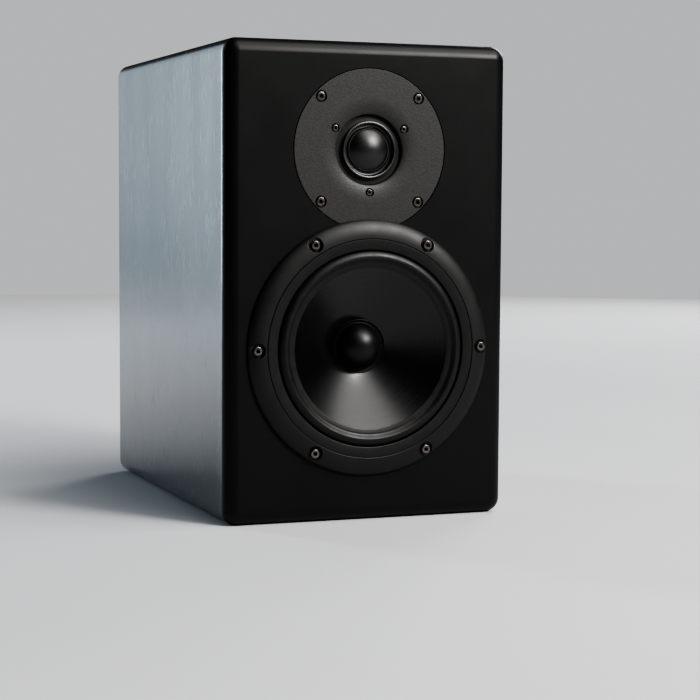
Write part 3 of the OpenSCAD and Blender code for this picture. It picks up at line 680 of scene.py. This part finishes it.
def socket_screw(axis, head_r, d0, d1, key_r):
    """Socket-headed cap screw, its head from d0 to d1: knurled side and a hexagon socket, whose inner faces
    are painted dark as shade.
    """
    ridges, ridge_depth = 26, 0.11

    def knurl(a, r, d):
        side = r > head_r - 0.05 and d0 + 0.7 < d < d1 + 0.01
        return r - ridge_depth * (1 - abs(math.cos(a * ridges / 2))) if side else r

    outline = filleted([
        (0, d0), (head_r, d0, 0.75), (head_r, d0 + 1.0), (head_r, d1 - 0.1),
        (head_r - 0.15, d1), (0, d1),
    ], 6)
    head = lathe("screw", outline, axis, ridges * 6, knurl)
    floor = d0 + 0.72 * (d1 - d0)
    socket = lathe("socket", [
        (0, d0 - 1), (key_r, d0 - 1), (key_r, floor), (0, floor + 0.25),
    ], axis, HEX)
    chamfer = lathe("chamfer", [
        (0, d0 - 0.5), (key_r + 0.55, d0 - 0.5), (key_r - 0.05, d0 + 0.15), (0, d0 + 0.15),
    ], axis, 48)
    cut(head, [socket])
    cut(head, [chamfer])
    # The socket's inner faces take the near-black socket material: painted shade in the hole.
    head.data.materials.clear()
    for m in (MATERIALS["screw"], MATERIALS["socket"]):
        head.data.materials.append(m)
    for face in head.data.polygons:
        spot = face.center
        reach = math.hypot(spot.x - axis.x, spot.z - axis.z)
        inside = reach < (key_r + 0.02) * MM and spot.y > FRONT + (d0 + 0.1) * MM
        face.material_index = 1 if inside else 0
    return head


def make_screws(name, node, axes, head_r, d0, d1, key_r):
    piece = joined(name, [socket_screw(axis, head_r, d0, d1, key_r) for axis in axes])
    piece.data.set_sharp_from_angle(angle=math.radians(30))
    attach(piece, "cabinet")
    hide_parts(node)


WOOFER_SCREWS = spots(WOOFER, SCREW_PCD, range(0, 360, 60))
TWEETER_SCREWS = spots(TWEETER, TWEETER_PCD, (45, 135, 225, 315))
PLATE_SCREWS = spots(TWEETER, SMALL_PCD, (30, 150, 270))


def make_trim_ring():
    """Convex ring with six pockets that run out through its outer side."""
    inner, outer, proud = TRIM_INNER_R, 83.5, 5.7
    skirt_r, pocket_r, clear_d = 80.6, 4.9, -12
    turns = [math.radians(t) for t in range(0, 88, 3)]
    rise = [(inner + (outer - inner) * math.cos(t), -proud * math.sin(t)) for t in turns]
    outline = [(outer - 0.05, 0.0)] + rise[1:] + filleted([
        (inner + 0.45, -proud), (inner, -proud + 0.35, 0.3), (inner, FLANGE_D),
        (skirt_r, FLANGE_D), (skirt_r, 0),
    ], 4)
    ring = lathe("trim_ring", outline, WOOFER, 384)
    cutters = [plug(pocket_r, clear_d, POCKET_D, axis, 96) for axis in WOOFER_SCREWS]
    cut(ring, cutters, 32)
    bevel = ring.modifiers.new("edges", "BEVEL")
    bevel.width = 0.18 * MM
    bevel.segments = 2
    bevel.limit_method = "ANGLE"
    bevel.angle_limit = math.radians(42)
    applied(ring, 30)
    ring.modifiers.new("even", "WEIGHTED_NORMAL").keep_sharp = True
    finish_piece(ring, "cabinet", ["woofer_trim_ring"], "trim_plastic", MATERIALS["trim"])


def make_gasket_ring():
    """Ring between the surround and the trim ring; its front slopes a little."""
    inner, outer, inner_d, outer_d = 64.0, 70.95, -5.1, -5.6
    ring = lathe("gasket_ring", filleted([
        (inner, LIP_D), (inner, inner_d, 0.8), (outer, outer_d, 0.3), (outer, LIP_D),
    ], 5), WOOFER, 256)
    finish_piece(ring, "cabinet", ["woofer_gasket_ring"], "gasket_rubber", MATERIALS["gasket"])


def radial_blend(piece, axis):
    """Lays a round piece's points out along X by their distance from the axis, bakes its transform, then puts
    the points back."""
    mesh = piece.data
    rest = [v.co.copy() for v in mesh.vertices]
    for v in mesh.vertices:
        v.co = Vector((math.hypot(v.co.x - axis.x, v.co.z - axis.z), 0, 0))
    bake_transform(piece)
    for v, co in zip(mesh.vertices, rest):
        v.co = co


def make_surround():
    """Rubber surround: outer lip, steep outer flank, soft inner flank and the lip glued on the cone."""
    lip_r, under_r = 70, 56.6
    glue_d = -3.98                             # back of the inner lip, on the cone's edge

    def steep(inset, steps):
        """Outer flank up to the crest."""
        wide = ROLL_OUTER - ROLL_CREST - inset
        high = ROLL_OUTER_D - ROLL_FRONT - inset
        turn = arc(0, 0, 1, 0, 90, steps)
        return [(ROLL_CREST + wide * c, ROLL_OUTER_D - high * s) for c, s in turn]

    def soft(end, steps):
        """Inner flank from the crest down to the inner foot."""
        rise, wide = ROLL_FRONT - ROLL_INNER_D, ROLL_CREST - ROLL_INNER
        radii = [ROLL_CREST + (end - ROLL_CREST) * k / steps for k in range(1, steps + 1)]
        shares = [(1 + math.cos(math.pi * (ROLL_CREST - r) / wide)) / 2 for r in radii]
        return [(r, ROLL_INNER_D + rise * share) for r, share in zip(radii, shares)]

    outline = [(lip_r, LIP_D), (ROLL_OUTER, LIP_D)] + steep(0, 16) + soft(ROLL_INNER, 16)
    outline += filleted([(54.6, -4.85), (52.95, -4.4, 0.12), (52.6, -4.28, 0.1), (52.6, glue_d)], 3)
    outline += [(under_r, glue_d)] + [(r, d + ROLL_T) for r, d in reversed(soft(under_r, 12))]
    outline += list(reversed(steep(ROLL_T, 12)))
    outline += [(ROLL_OUTER - ROLL_T, FLANGE_D), (lip_r, FLANGE_D)]
    piece = lathe("surround", outline, WOOFER, 256, sharp_deg=50)
    piece.data.materials.append(MATERIALS["surround"])
    radial_blend(piece, WOOFER)
    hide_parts("woofer_surround")


def cone_at(r):
    """Depth of the cone's slightly bowed face."""
    u = (CONE_EDGE - r) / (CONE_EDGE - CAP_R)
    return CONE_BASE + u * (CONE_DEPTH + 4 * CONE_BOW * (1 - u))


def make_cone():
    """Bowed cone with a flat rim, which carries the surround's inner lip."""
    steps, wall = 32, 1.5
    rim_r, rim_front, rim_back = 56.3, -3.95, -3.05
    radii = [CONE_EDGE - (CONE_EDGE - CONE_NECK) * k / steps for k in range(steps + 1)]
    back = [(max(r - 0.6, CONE_NECK), cone_at(r) + wall) for r in reversed(radii)]
    face = [(r, cone_at(r)) for r in radii]
    outline = [(rim_r, rim_front)] + face + back + [(rim_r, rim_back)]
    cone = lathe("cone", outline, WOOFER, 256)
    finish_piece(cone, "woofer_diaphragm", ["woofer_cone"], "cone_polymer", MATERIALS["cone"])


def cap_arc(rim_r, rise, rim_d, steps):
    """From the crown of a spherical cap to its rim."""
    ball_r = (rim_r * rim_r + rise * rise) / (2 * rise)
    half = math.asin(rim_r / ball_r)
    turns = [half * k / steps for k in range(steps + 1)]
    return [(ball_r * math.sin(a), rim_d - rise + ball_r - ball_r * math.cos(a)) for a in turns]


def make_dust_cap():
    """Domed cap with a small rolled rim, and the bead of glue round it."""
    rim, rise = cone_at(CAP_R) - 0.1, 11.8
    outline = cap_arc(CAP_R - 0.5, rise, rim - 0.2, 40)
    outline += filleted([
        (CAP_R - 0.4, rim - 0.3), (CAP_R, rim - 0.3, 0.15), (CAP_R, rim + 0.1),
        (CAP_R - 0.4, rim + 0.3),
    ], 3)
    outline += list(reversed(cap_arc(CAP_R - 0.9, rise - 0.3, rim + 0.1, 28)))
    cap = lathe("dust_cap", outline, WOOFER, 192, sharp_deg=45)
    finish_piece(cap, "woofer_diaphragm", ["woofer_dust_cap"], "cap_polymer", MATERIALS["cap"])
    start, end = CAP_R + 0.02, CAP_R + 1.9
    bead = lathe("cap_glue", filleted([
        (start, cone_at(start) - 0.02), (start, cone_at(start) - 0.12),
        (end - 0.5, cone_at(end - 0.5) - 0.14), (end - 0.2, cone_at(end - 0.2) - 0.34, 0.1),
        (end, cone_at(end) - 0.02),
    ], 4), WOOFER, 192, sharp_deg=60)
    bead.data.materials.append(MATERIALS["glue"])
    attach(bead, "woofer_diaphragm")


def make_spider():
    """Corrugated cloth disc behind the cone."""
    waves, start, end, steps = 4, 13.3, 30.5, 96
    middle_d, wave_height, cloth_t = 37.25, 0.7, 0.45
    shelf_r, rim_r, rim_front, rim_back = 31, 41, 37.5, 38
    front = []
    for k in range(steps + 1):
        r = start + (end - start) * k / steps
        front.append((r, middle_d + wave_height * math.sin(2 * math.pi * waves * k / steps)))
    rim = [(shelf_r + 0.2, rim_front), (rim_r, rim_front), (rim_r, rim_back), (shelf_r, rim_back)]
    outline = front + rim + [(r, d + cloth_t) for r, d in reversed(front)]
    piece = lathe("spider", outline, WOOFER, 128, sharp_deg=60)
    piece.data.materials.append(MATERIALS["spider"])
    radial_blend(piece, WOOFER)
    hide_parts("woofer_spider")


def make_leads():
    """Two flexible leads from the cone's back to the tag board."""
    bm = bmesh.new()
    rings, sides, radius, apart = 28, 12, 0.6, 4.5
    route = ((24, 16.1), (33, 26), (48.5, 24), (48, 39.2))    # across and depth of the curve's corners
    for s in (-1, 1):
        corners = [Vector((x, apart * s, d)) for x, d in route]
        loops = []
        for i in range(rings + 1):
            t = i / rings
            share = [(1 - t) ** 3, 3 * t * (1 - t) ** 2, 3 * t * t * (1 - t), t ** 3]
            middle = sum((w * c for w, c in zip(share, corners)), Vector())
            ahead = [(1 - t) ** 2, 2 * t * (1 - t), t * t]
            steps = [w * (b - a) for w, a, b in zip(ahead, corners, corners[1:])]
            along = sum(steps, Vector()).normalized()
            up = Vector((0, 1, 0))
            out = up.cross(along)
            loop = []
            for k in range(sides):
                a = 2 * math.pi * k / sides
                p = middle + radius * (math.cos(a) * out + math.sin(a) * up)
                place = (WOOFER.x + p.x * MM, FRONT + p.z * MM, WOOFER.z + p.y * MM)
                loop.append(bm.verts.new(place))
            loops.append(loop)
        for a, b in zip(loops, loops[1:]):
            for k in range(sides):
                bm.faces.new((a[k], a[(k + 1) % sides], b[(k + 1) % sides], b[k]))
        bm.faces.new(loops[0])
        bm.faces.new(list(reversed(loops[-1])))
    piece = new_object("lead_wires", bm, 50)
    piece.data.materials.append(MATERIALS["copper"])
    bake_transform(piece)
    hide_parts("woofer_lead_wires")


# ---------- tweeter ----------


def make_faceplate():
    """Powder-coated plate with a soft lip round its mouth, counterbored for its screws."""
    dip_r, dip, boss_r, boss_d = 34, 2.2, 36, 6.5
    turns = [math.radians(t) for t in range(0, 91, 3)]
    lip = [(dip_r - (dip_r - MOUTH_R) * math.sin(t), dip * (1 - math.cos(t))) for t in turns]
    outline = filleted([(PLATE_R, PLATE_T), (PLATE_R, 0, 0.35), (40, 0)], 4) + lip
    outline += [(MOUTH_R, boss_d), (boss_r, boss_d), (boss_r, PLATE_T)]
    plate = lathe("faceplate", outline, TWEETER, 384)
    cutters = []
    wide, narrow = 3.8, 2.75                   # counterbores for the mounting and the small screws
    for axis in TWEETER_SCREWS:
        cutters.append(lathe("bore", [
            (0, -2), (wide + 0.35, -2), (wide, 0.3), (wide, PLATE_SEAT_D), (0, PLATE_SEAT_D),
        ], axis, 72))
    for axis in PLATE_SCREWS:
        cutters.append(lathe("bore", [
            (0, -2), (narrow + 0.35, -2), (narrow + 0.35, 0.3), (narrow, 0.6),
            (narrow, SMALL_SEAT_D), (0, SMALL_SEAT_D),
        ], axis, 60))
    cut(plate, cutters)
    plate.modifiers.new("even", "WEIGHTED_NORMAL").keep_sharp = True
    finish_piece(plate, "cabinet", ["tweeter_faceplate"], "faceplate_coat", MATERIALS["plate"])


def make_mouth():
    """Grooved ring in the plate's mouth, and the bright bezel round the dome."""
    inner = lathe("mouth_ring", filleted([
        (18.5, 3.7), (20.5, 4.1, 0.4), (22.6, 3.9, 0.2), (22.6, 6.4), (17.6, 6.4), (17.6, 3.9),
        (18.5, 3.9),
    ], 4), TWEETER, 192)
    finish_piece(inner, "cabinet", ["tweeter_inner_ring"], "mouth_plastic", MATERIALS["mouth"])
    bezel = lathe("bezel", [(16.9, 2.6), (16.9, 1.85)] + arc(17.65, 1.75, 0.75, -175, -5, 18)
                  + [(18.4, 1.85), (18.4, 3.8), (17.5, 3.8), (17.5, 2.6)], TWEETER, 192)
    finish_piece(bezel, "cabinet", ["tweeter_bezel"], "bezel_metal", MATERIALS["bezel"])


def make_tweeter_surround():
    """Narrow half-roll from the dome's edge to under the bezel."""
    inner, outer, edge, t = DOME_R + 0.02, 17.4, DOME_EDGE_D, 0.25
    middle, roll_r = (inner + outer) / 2, (outer - inner) / 2 - 0.5
    outline = [(inner, edge)] + arc(middle, edge, roll_r, 180, 0, 16) + [(outer, edge), (outer, edge + t)]
    outline += arc(middle, edge, roll_r + t, 8, 172, 16) + [(inner, edge + t)]
    piece = lathe("dome_roll", outline, TWEETER, 160, sharp_deg=60)
    piece.data.materials.append(MATERIALS["dome"])
    radial_blend(piece, TWEETER)
    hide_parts("tweeter_surround")


def make_dome():
    rise, wall = 5.2, 0.35
    outer = cap_arc(DOME_R, rise, DOME_EDGE_D, 32)
    inner = list(reversed(cap_arc(DOME_R - wall, rise, DOME_EDGE_D + wall, 24)))
    dome = lathe("dome", outer + inner, TWEETER, 160, sharp_deg=50)
    finish_piece(dome, "tweeter_diaphragm", ["tweeter_dome"], "dome_cloth", MATERIALS["dome"])


# ---------- back ----------


def make_port():
    """Reflex port: straight tube, rounded mouth and a flange on the back panel."""
    low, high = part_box("port_tube")
    start, end = behind_baffle(low.y), behind_baffle(high.y)
    bore, tube_r, flange_r, flange_t, flare = PORT_BORE_R, PORT_BORE_R + 2, 36, 3, 7.0
    turns = [math.radians(t) for t in range(0, 91, 5)]
    mouth = [(bore + flare * (1 - math.cos(t)), end - flare + flare * math.sin(t)) for t in turns]
    outline = [(bore + 0.6, start), (bore, start + 0.6), (bore, end - flare - 4)] + mouth
    outline += filleted([
        (33.5, end), (flange_r, end, 1.0), (flange_r, end - flange_t), (tube_r, end - flange_t),
        (tube_r, start + 0.3), (tube_r - 0.3, start),
    ], 5)
    port = lathe("port", outline, PORT, 256)
    finish_piece(port, "cabinet", ["port_tube"], "moulded_black", MATERIALS["black"])


def rounded_box(name, size, r, y0, y1, centre, taper=0.0):
    """A plate with rounded corners; its far end may be smaller or larger by taper on each side."""

    def outline(extra):
        points = []
        for k, (sx, sz) in enumerate(((1, 1), (-1, 1), (-1, -1), (1, -1))):
            cx = centre.x + sx * (size[0] / 2 + extra - r)
            cz = centre.z + sz * (size[1] / 2 + extra - r)
            points += arc(cx, cz, r, 90 * k, 90 * k + 90, 8)
        return points

    bm = bmesh.new()
    near = [bm.verts.new((x, y0, z)) for x, z in outline(0)]
    far = [bm.verts.new((x, y1, z)) for x, z in outline(taper)]
    n = len(near)
    for k in range(n):
        bm.faces.new((near[k], near[(k + 1) % n], far[(k + 1) % n], far[k]))
    bm.faces.new(near)
    bm.faces.new(list(reversed(far)))
    return new_object(name, bm)


POST_TAIL = 14                             # how far a post reaches in behind the cup's floor
CUP_SCREWS = [
    Vector((CUP.x + x * 43 * MM, 0, CUP.z + z * 33 * MM)) for x in (-1, 1) for z in (-1, 1)
]


def make_cup():
    """Recessed cup with a rounded flange and softly broken edges, holed for the posts and sunk for its
    screws.
    """
    low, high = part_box("terminal_cup")
    floor_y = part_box("red_post")[0].y + POST_TAIL * MM
    flange_t = 2.2 * MM
    flange = rounded_box("cup", (96 * MM, 76 * MM), 6 * MM, high.y - flange_t, high.y, CUP)
    body = rounded_box("cup_body", (77 * MM, 55 * MM), 3 * MM, low.y, high.y - MM, CUP)
    union = flange.modifiers.new("union", "BOOLEAN")
    union.operation = "UNION"
    union.solver = "EXACT"
    union.object = body
    applied(flange)
    bpy.data.objects.remove(body)
    inside = rounded_box(
        "inside", (70.5 * MM, 48.5 * MM), 4 * MM, floor_y, high.y + MM, CUP, 0.75 * MM)
    cut(flange, [inside], 28)
    floor, top, post_hole_r = behind_baffle(floor_y), behind_baffle(high.y), 2.95
    holes = [plug(post_hole_r, floor - 6, floor + 3, post, 48) for post in (RED, BLACK)]
    sink = [(0, top - 3), (1.8, top - 3), (1.8, top - 1.8), (3.75, top + 0.1), (0, top + 0.1)]
    holes += [lathe("sink", sink, axis, 48) for axis in CUP_SCREWS]
    cut(flange, holes, 28)
    bevel = flange.modifiers.new("edges", "BEVEL")
    bevel.width = 0.5 * MM
    bevel.segments = 3
    bevel.limit_method = "ANGLE"
    bevel.angle_limit = math.radians(50)
    applied(flange, 28)
    flange.modifiers.new("even", "WEIGHTED_NORMAL").keep_sharp = True
    finish_piece(flange, "cabinet", ["terminal_cup"], "moulded_black", MATERIALS["black"])


def make_cup_screws():
    """Countersunk cross-headed screws."""
    top = behind_baffle(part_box("terminal_cup")[1].y)
    long, short = 1.9 * MM, 0.42 * MM          # half sizes of the cross's two slots
    slot_floor, slot_top = FRONT + (top - 1.1) * MM, FRONT + (top + 1) * MM
    heads = []
    for axis in CUP_SCREWS:
        head = lathe("head", [
            (0, top - 3), (1.7, top - 3), (1.7, top - 1.75), (3.4, top - 0.05), (3.3, top),
            (1.8, top), (0, top),
        ], axis, 64)
        slots = [
            box_cutter(axis.x - w, axis.x + w, axis.z - h, axis.z + h, slot_floor, slot_top)
            for w, h in ((long, short), (short, long))
        ]
        for s in slots:
            cut(head, [s])
        heads.append(head)
    piece = joined("cup_screws", heads)
    finish_piece(piece, "cabinet", ["terminal_cup_screws"], "dark_screw", MATERIALS["screw"])


def make_stud(color, axis):
    """Threaded stud with a collar on the cup's floor and a socket in its end."""
    low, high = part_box(color + "_post")
    start, end = behind_baffle(low.y), behind_baffle(high.y)
    floor_d = start + POST_TAIL
    shank_r, collar_r, collar_t, crest_r, root_r, pitch = 2.9, 6.5, 2, 2.98, 2.62, 1.0
    socket_r, socket_l = 2.0, 20
    thread = []
    d = floor_d + 4
    while d < end - 1.2:
        thread += [(crest_r, d), (crest_r, d + 0.3), (root_r, d + 0.55), (root_r, d + 0.75)]
        d += pitch
    outline = [(0, start), (shank_r, start), (shank_r, floor_d)] + filleted([
        (collar_r, floor_d), (collar_r, floor_d + collar_t, 0.3), (shank_r, floor_d + collar_t),
    ], 3) + thread
    outline += [
        (crest_r, end - 0.6), (2.6, end), (socket_r + 0.25, end), (socket_r, end - 0.25),
        (socket_r, end - socket_l), (0, end - socket_l),
    ]
    stud = lathe(color + "_stud", outline, axis, 96)
    finish_piece(stud, "cabinet", [color + "_post"], "gold_plate", MATERIALS["gold"])


def make_washer(color, axis):
    low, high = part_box(color + "_washer")
    a, b = behind_baffle(low.y), behind_baffle(high.y)
    inner, outer = 3.3, 6.2
    outline = filleted([(inner, a), (outer, a, 0.3), (outer, b, 0.3), (inner, b)], 3)
    washer = lathe(color + "_ring", outline, axis, 96)
    finish_piece(washer, color + "_washer", [color + "_washer"], "gold_plate", MATERIALS["gold"])


def make_knob(color, axis, material, slot):
    """Fluted knob; its flutes ease in behind a plain collar."""
    low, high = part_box(color + "_knob")
    a, b = behind_baffle(low.y), behind_baffle(high.y)
    flutes, flute_depth, bore, knob_r, collar = 14, 0.75, 3.06, 7.5, 2.6

    def fluted(angle, r, d):
        if r < knob_r - 0.3 or d < a + collar:
            return r
        ease = min(1.0, (d - a - collar) / 1.2)
        wave = max(0.0, math.cos(flutes * angle)) ** 1.5
        return r - flute_depth * wave * ease

    outline = filleted([(bore, a), (knob_r, a, 0.5), (knob_r, a + 2.5)], 4)
    outline += [(knob_r, a + collar + 1.4 * k / 5) for k in range(1, 6)] + [(knob_r, b - 3)]
    outline += filleted([
        (knob_r, b - 1.5), (7.45, b, 1.2), (5.0, b, 0.3), (4.6, b - 1.0, 0.3), (bore, b - 1.0),
    ], 5)
    knob = lathe(color + "_grip", outline, axis, flutes * 16, fluted, 35)
    finish_piece(knob, color + "_knob", [color + "_knob"], slot, material)


def make_post(color, axis, knob_material, knob_slot):
    """Stud, loose washer and knob of one binding post."""
    make_stud(color, axis)
    make_washer(color, axis)
    make_knob(color, axis, knob_material, knob_slot)


# ---------- inner CAD parts keep their shape ----------

INNER = {
    "brace": "board", "damping_foam": "foam", "woofer_basket": "frame", "woofer_mounting_gasket": "seal",
    "woofer_voice_coil": "copper", "woofer_top_plate": "steel", "woofer_magnet": "ferrite",
    "woofer_pole_plate": "steel", "woofer_terminals": "tag",
    "tweeter_mounting_gasket": "seal", "tweeter_voice_coil": "copper", "tweeter_top_plate": "steel",
    "tweeter_magnet": "ferrite", "tweeter_pole_plate": "steel", "tweeter_rear_chamber": "black",
    "tweeter_terminals": "tag", "crossover_board": "pcb", "crossover_spacers": "nylon",
    "crossover_screws": "steel", "bass_inductor": "copper", "treble_inductor": "copper",
    "crossover_capacitors": "film", "crossover_resistors": "cement", "woofer_wires": "wire_red",
    "tweeter_wires": "wire_black", "input_wires": "wire_black", "terminal_cup_gasket": "seal",
    "post_nuts": "gold",
}


def dress_inner_parts():
    for node, key in INNER.items():
        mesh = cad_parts[node].data
        mesh.materials.clear()
        mesh.materials.append(MATERIALS[key])


# ---------- stage, light and camera ----------


def make_stage():
    """Pale floor that runs far out, so that it fills every view."""
    bm = bmesh.new()
    bmesh.ops.create_circle(bm, cap_ends=True, segments=96, radius=3.1)
    floor = new_object("floor", bm)
    surface = Surface("floor_paint", (0.49, 0.495, 0.51), 0.8, Specular_IOR_Level=0.1)
    surface.mottled((0.485, 0.49, 0.505), (0.5, 0.505, 0.52), 2)
    surface.worn_gloss(0.75, 0.85, 6)
    floor.data.materials.append(surface.mat)


def softbox(name, place, aim, size, power, color=(1, 1, 1)):
    light = bpy.data.lights.new(name, "AREA")
    light.shape = "RECTANGLE"
    light.size, light.size_y = size
    light.energy = power
    light.color = color
    obj = bpy.data.objects.new(name, light)
    bpy.context.scene.collection.objects.link(obj)
    obj.location = place
    obj.rotation_euler = (Vector(aim) - Vector(place)).to_track_quat("-Z", "Y").to_euler()
    obj.visible_camera = False


def make_lights():
    """Key from the front right, strips for the side, the edge and the back, and a soft sky."""
    cool, warm = (0.74, 0.88, 1.0), (1.0, 0.98, 0.95)
    softbox("key", (0.86, -1.37, 1.16), (0, -0.1, 0.2), (0.5, 0.5), 34, warm)
    side_x, side_y, side_w, side_top, side_power, lean = -0.75, 2.4, 0.9, 1.25, 1.45, 0.29
    for k, (low, share) in enumerate(((0.012, 1.0), (0.17, 0.14), (0.3, 0.1))):
        tall = side_top - low
        place = (side_x, side_y - 0.02 * k, (low + side_top) / 2)
        aim = (side_x + lean, 0, place[2])
        softbox("side_%d" % k, place, aim, (side_w, tall), share * tall * side_power, cool)
    softbox("edge", (-1.28, 1.9, 0.75), (-0.0975, -0.13, 0.16), (0.3, 1.4), 26, cool)
    softbox("rear", (1.9, 1.9, 1.3), (0, 0.1, 0.15), (1.1, 1.1), 36)
    sun = bpy.data.lights.new("overhead", "SUN")
    sun.energy = 2.5
    sun.angle = math.radians(53)
    sun.color = (1.0, 0.985, 0.965)
    obj = bpy.data.objects.new("overhead", sun)
    bpy.context.scene.collection.objects.link(obj)
    obj.rotation_euler = Vector((-0.4, 0.41, -0.82)).to_track_quat("-Z", "Y").to_euler()
    world = bpy.data.worlds.new("studio")
    bpy.context.scene.world = world
    world.use_nodes = True
    nodes, links = world.node_tree.nodes, world.node_tree.links
    seen = nodes.new("ShaderNodeLightPath").outputs["Is Camera Ray"]
    mix = nodes.new("ShaderNodeMix")
    mix.data_type = "RGBA"
    links.new(seen, mix.inputs["Factor"])
    mix.inputs["A"].default_value = (0.03, 0.031, 0.033, 1)
    mix.inputs["B"].default_value = (0.44, 0.445, 0.455, 1)
    links.new(mix.outputs["Result"], nodes["Background"].inputs["Color"])


def make_camera():
    """Long lens from the front left, a little above the middle of the cabinet."""
    camera = bpy.data.cameras.new("camera")
    camera.sensor_width = 36.0
    camera.lens = 97.5
    camera.shift_y = 0.0213
    camera.clip_start, camera.clip_end = 0.05, 60
    obj = bpy.data.objects.new("camera", camera)
    bpy.context.scene.collection.objects.link(obj)
    obj.location = (-0.4488, FRONT - 1.1468, 0.2037)
    yaw, pitch, roll = math.radians(20.80), math.radians(-4.72), math.radians(0.305)
    level = Vector((math.sin(yaw), math.cos(yaw), 0))
    forward = math.cos(pitch) * level + math.sin(pitch) * Vector((0, 0, 1))
    side = Vector((math.cos(yaw), -math.sin(yaw), 0))
    above = side.cross(forward)
    right = math.cos(roll) * side + math.sin(roll) * above
    up = math.cos(roll) * above - math.sin(roll) * side
    obj.rotation_euler = Matrix((right, up, -forward)).transposed().to_euler()
    bpy.context.scene.camera = obj


make_camera()
make_lights()
make_stage()
make_baffle()
make_panels()
make_back_panel()
make_trim_ring()
make_gasket_ring()
make_surround()
make_cone()
make_dust_cap()
make_spider()
make_leads()
make_screws(
    "woofer_bolts", "woofer_screws", WOOFER_SCREWS, HEAD_R, WOOFER_HEAD_D, POCKET_D, KEY_R)
make_faceplate()
make_mouth()
make_tweeter_surround()
make_dome()
make_screws(
    "tweeter_bolts", "tweeter_screws", TWEETER_SCREWS, HEAD_R, 0.0, PLATE_SEAT_D, KEY_R)
make_screws(
    "plate_bolts", "tweeter_plate_screws", PLATE_SCREWS, SMALL_HEAD_R, 0.5, SMALL_SEAT_D, SMALL_KEY_R)
make_port()
make_cup()
make_cup_screws()
make_post("red", RED, MATERIALS["red"], "knob_red")
make_post("black", BLACK, MATERIALS["knob_black"], "knob_black")
dress_inner_parts()

bpy.context.scene.view_settings.view_transform = "AgX"
bpy.context.scene.view_settings.look = "AgX - High Contrast"
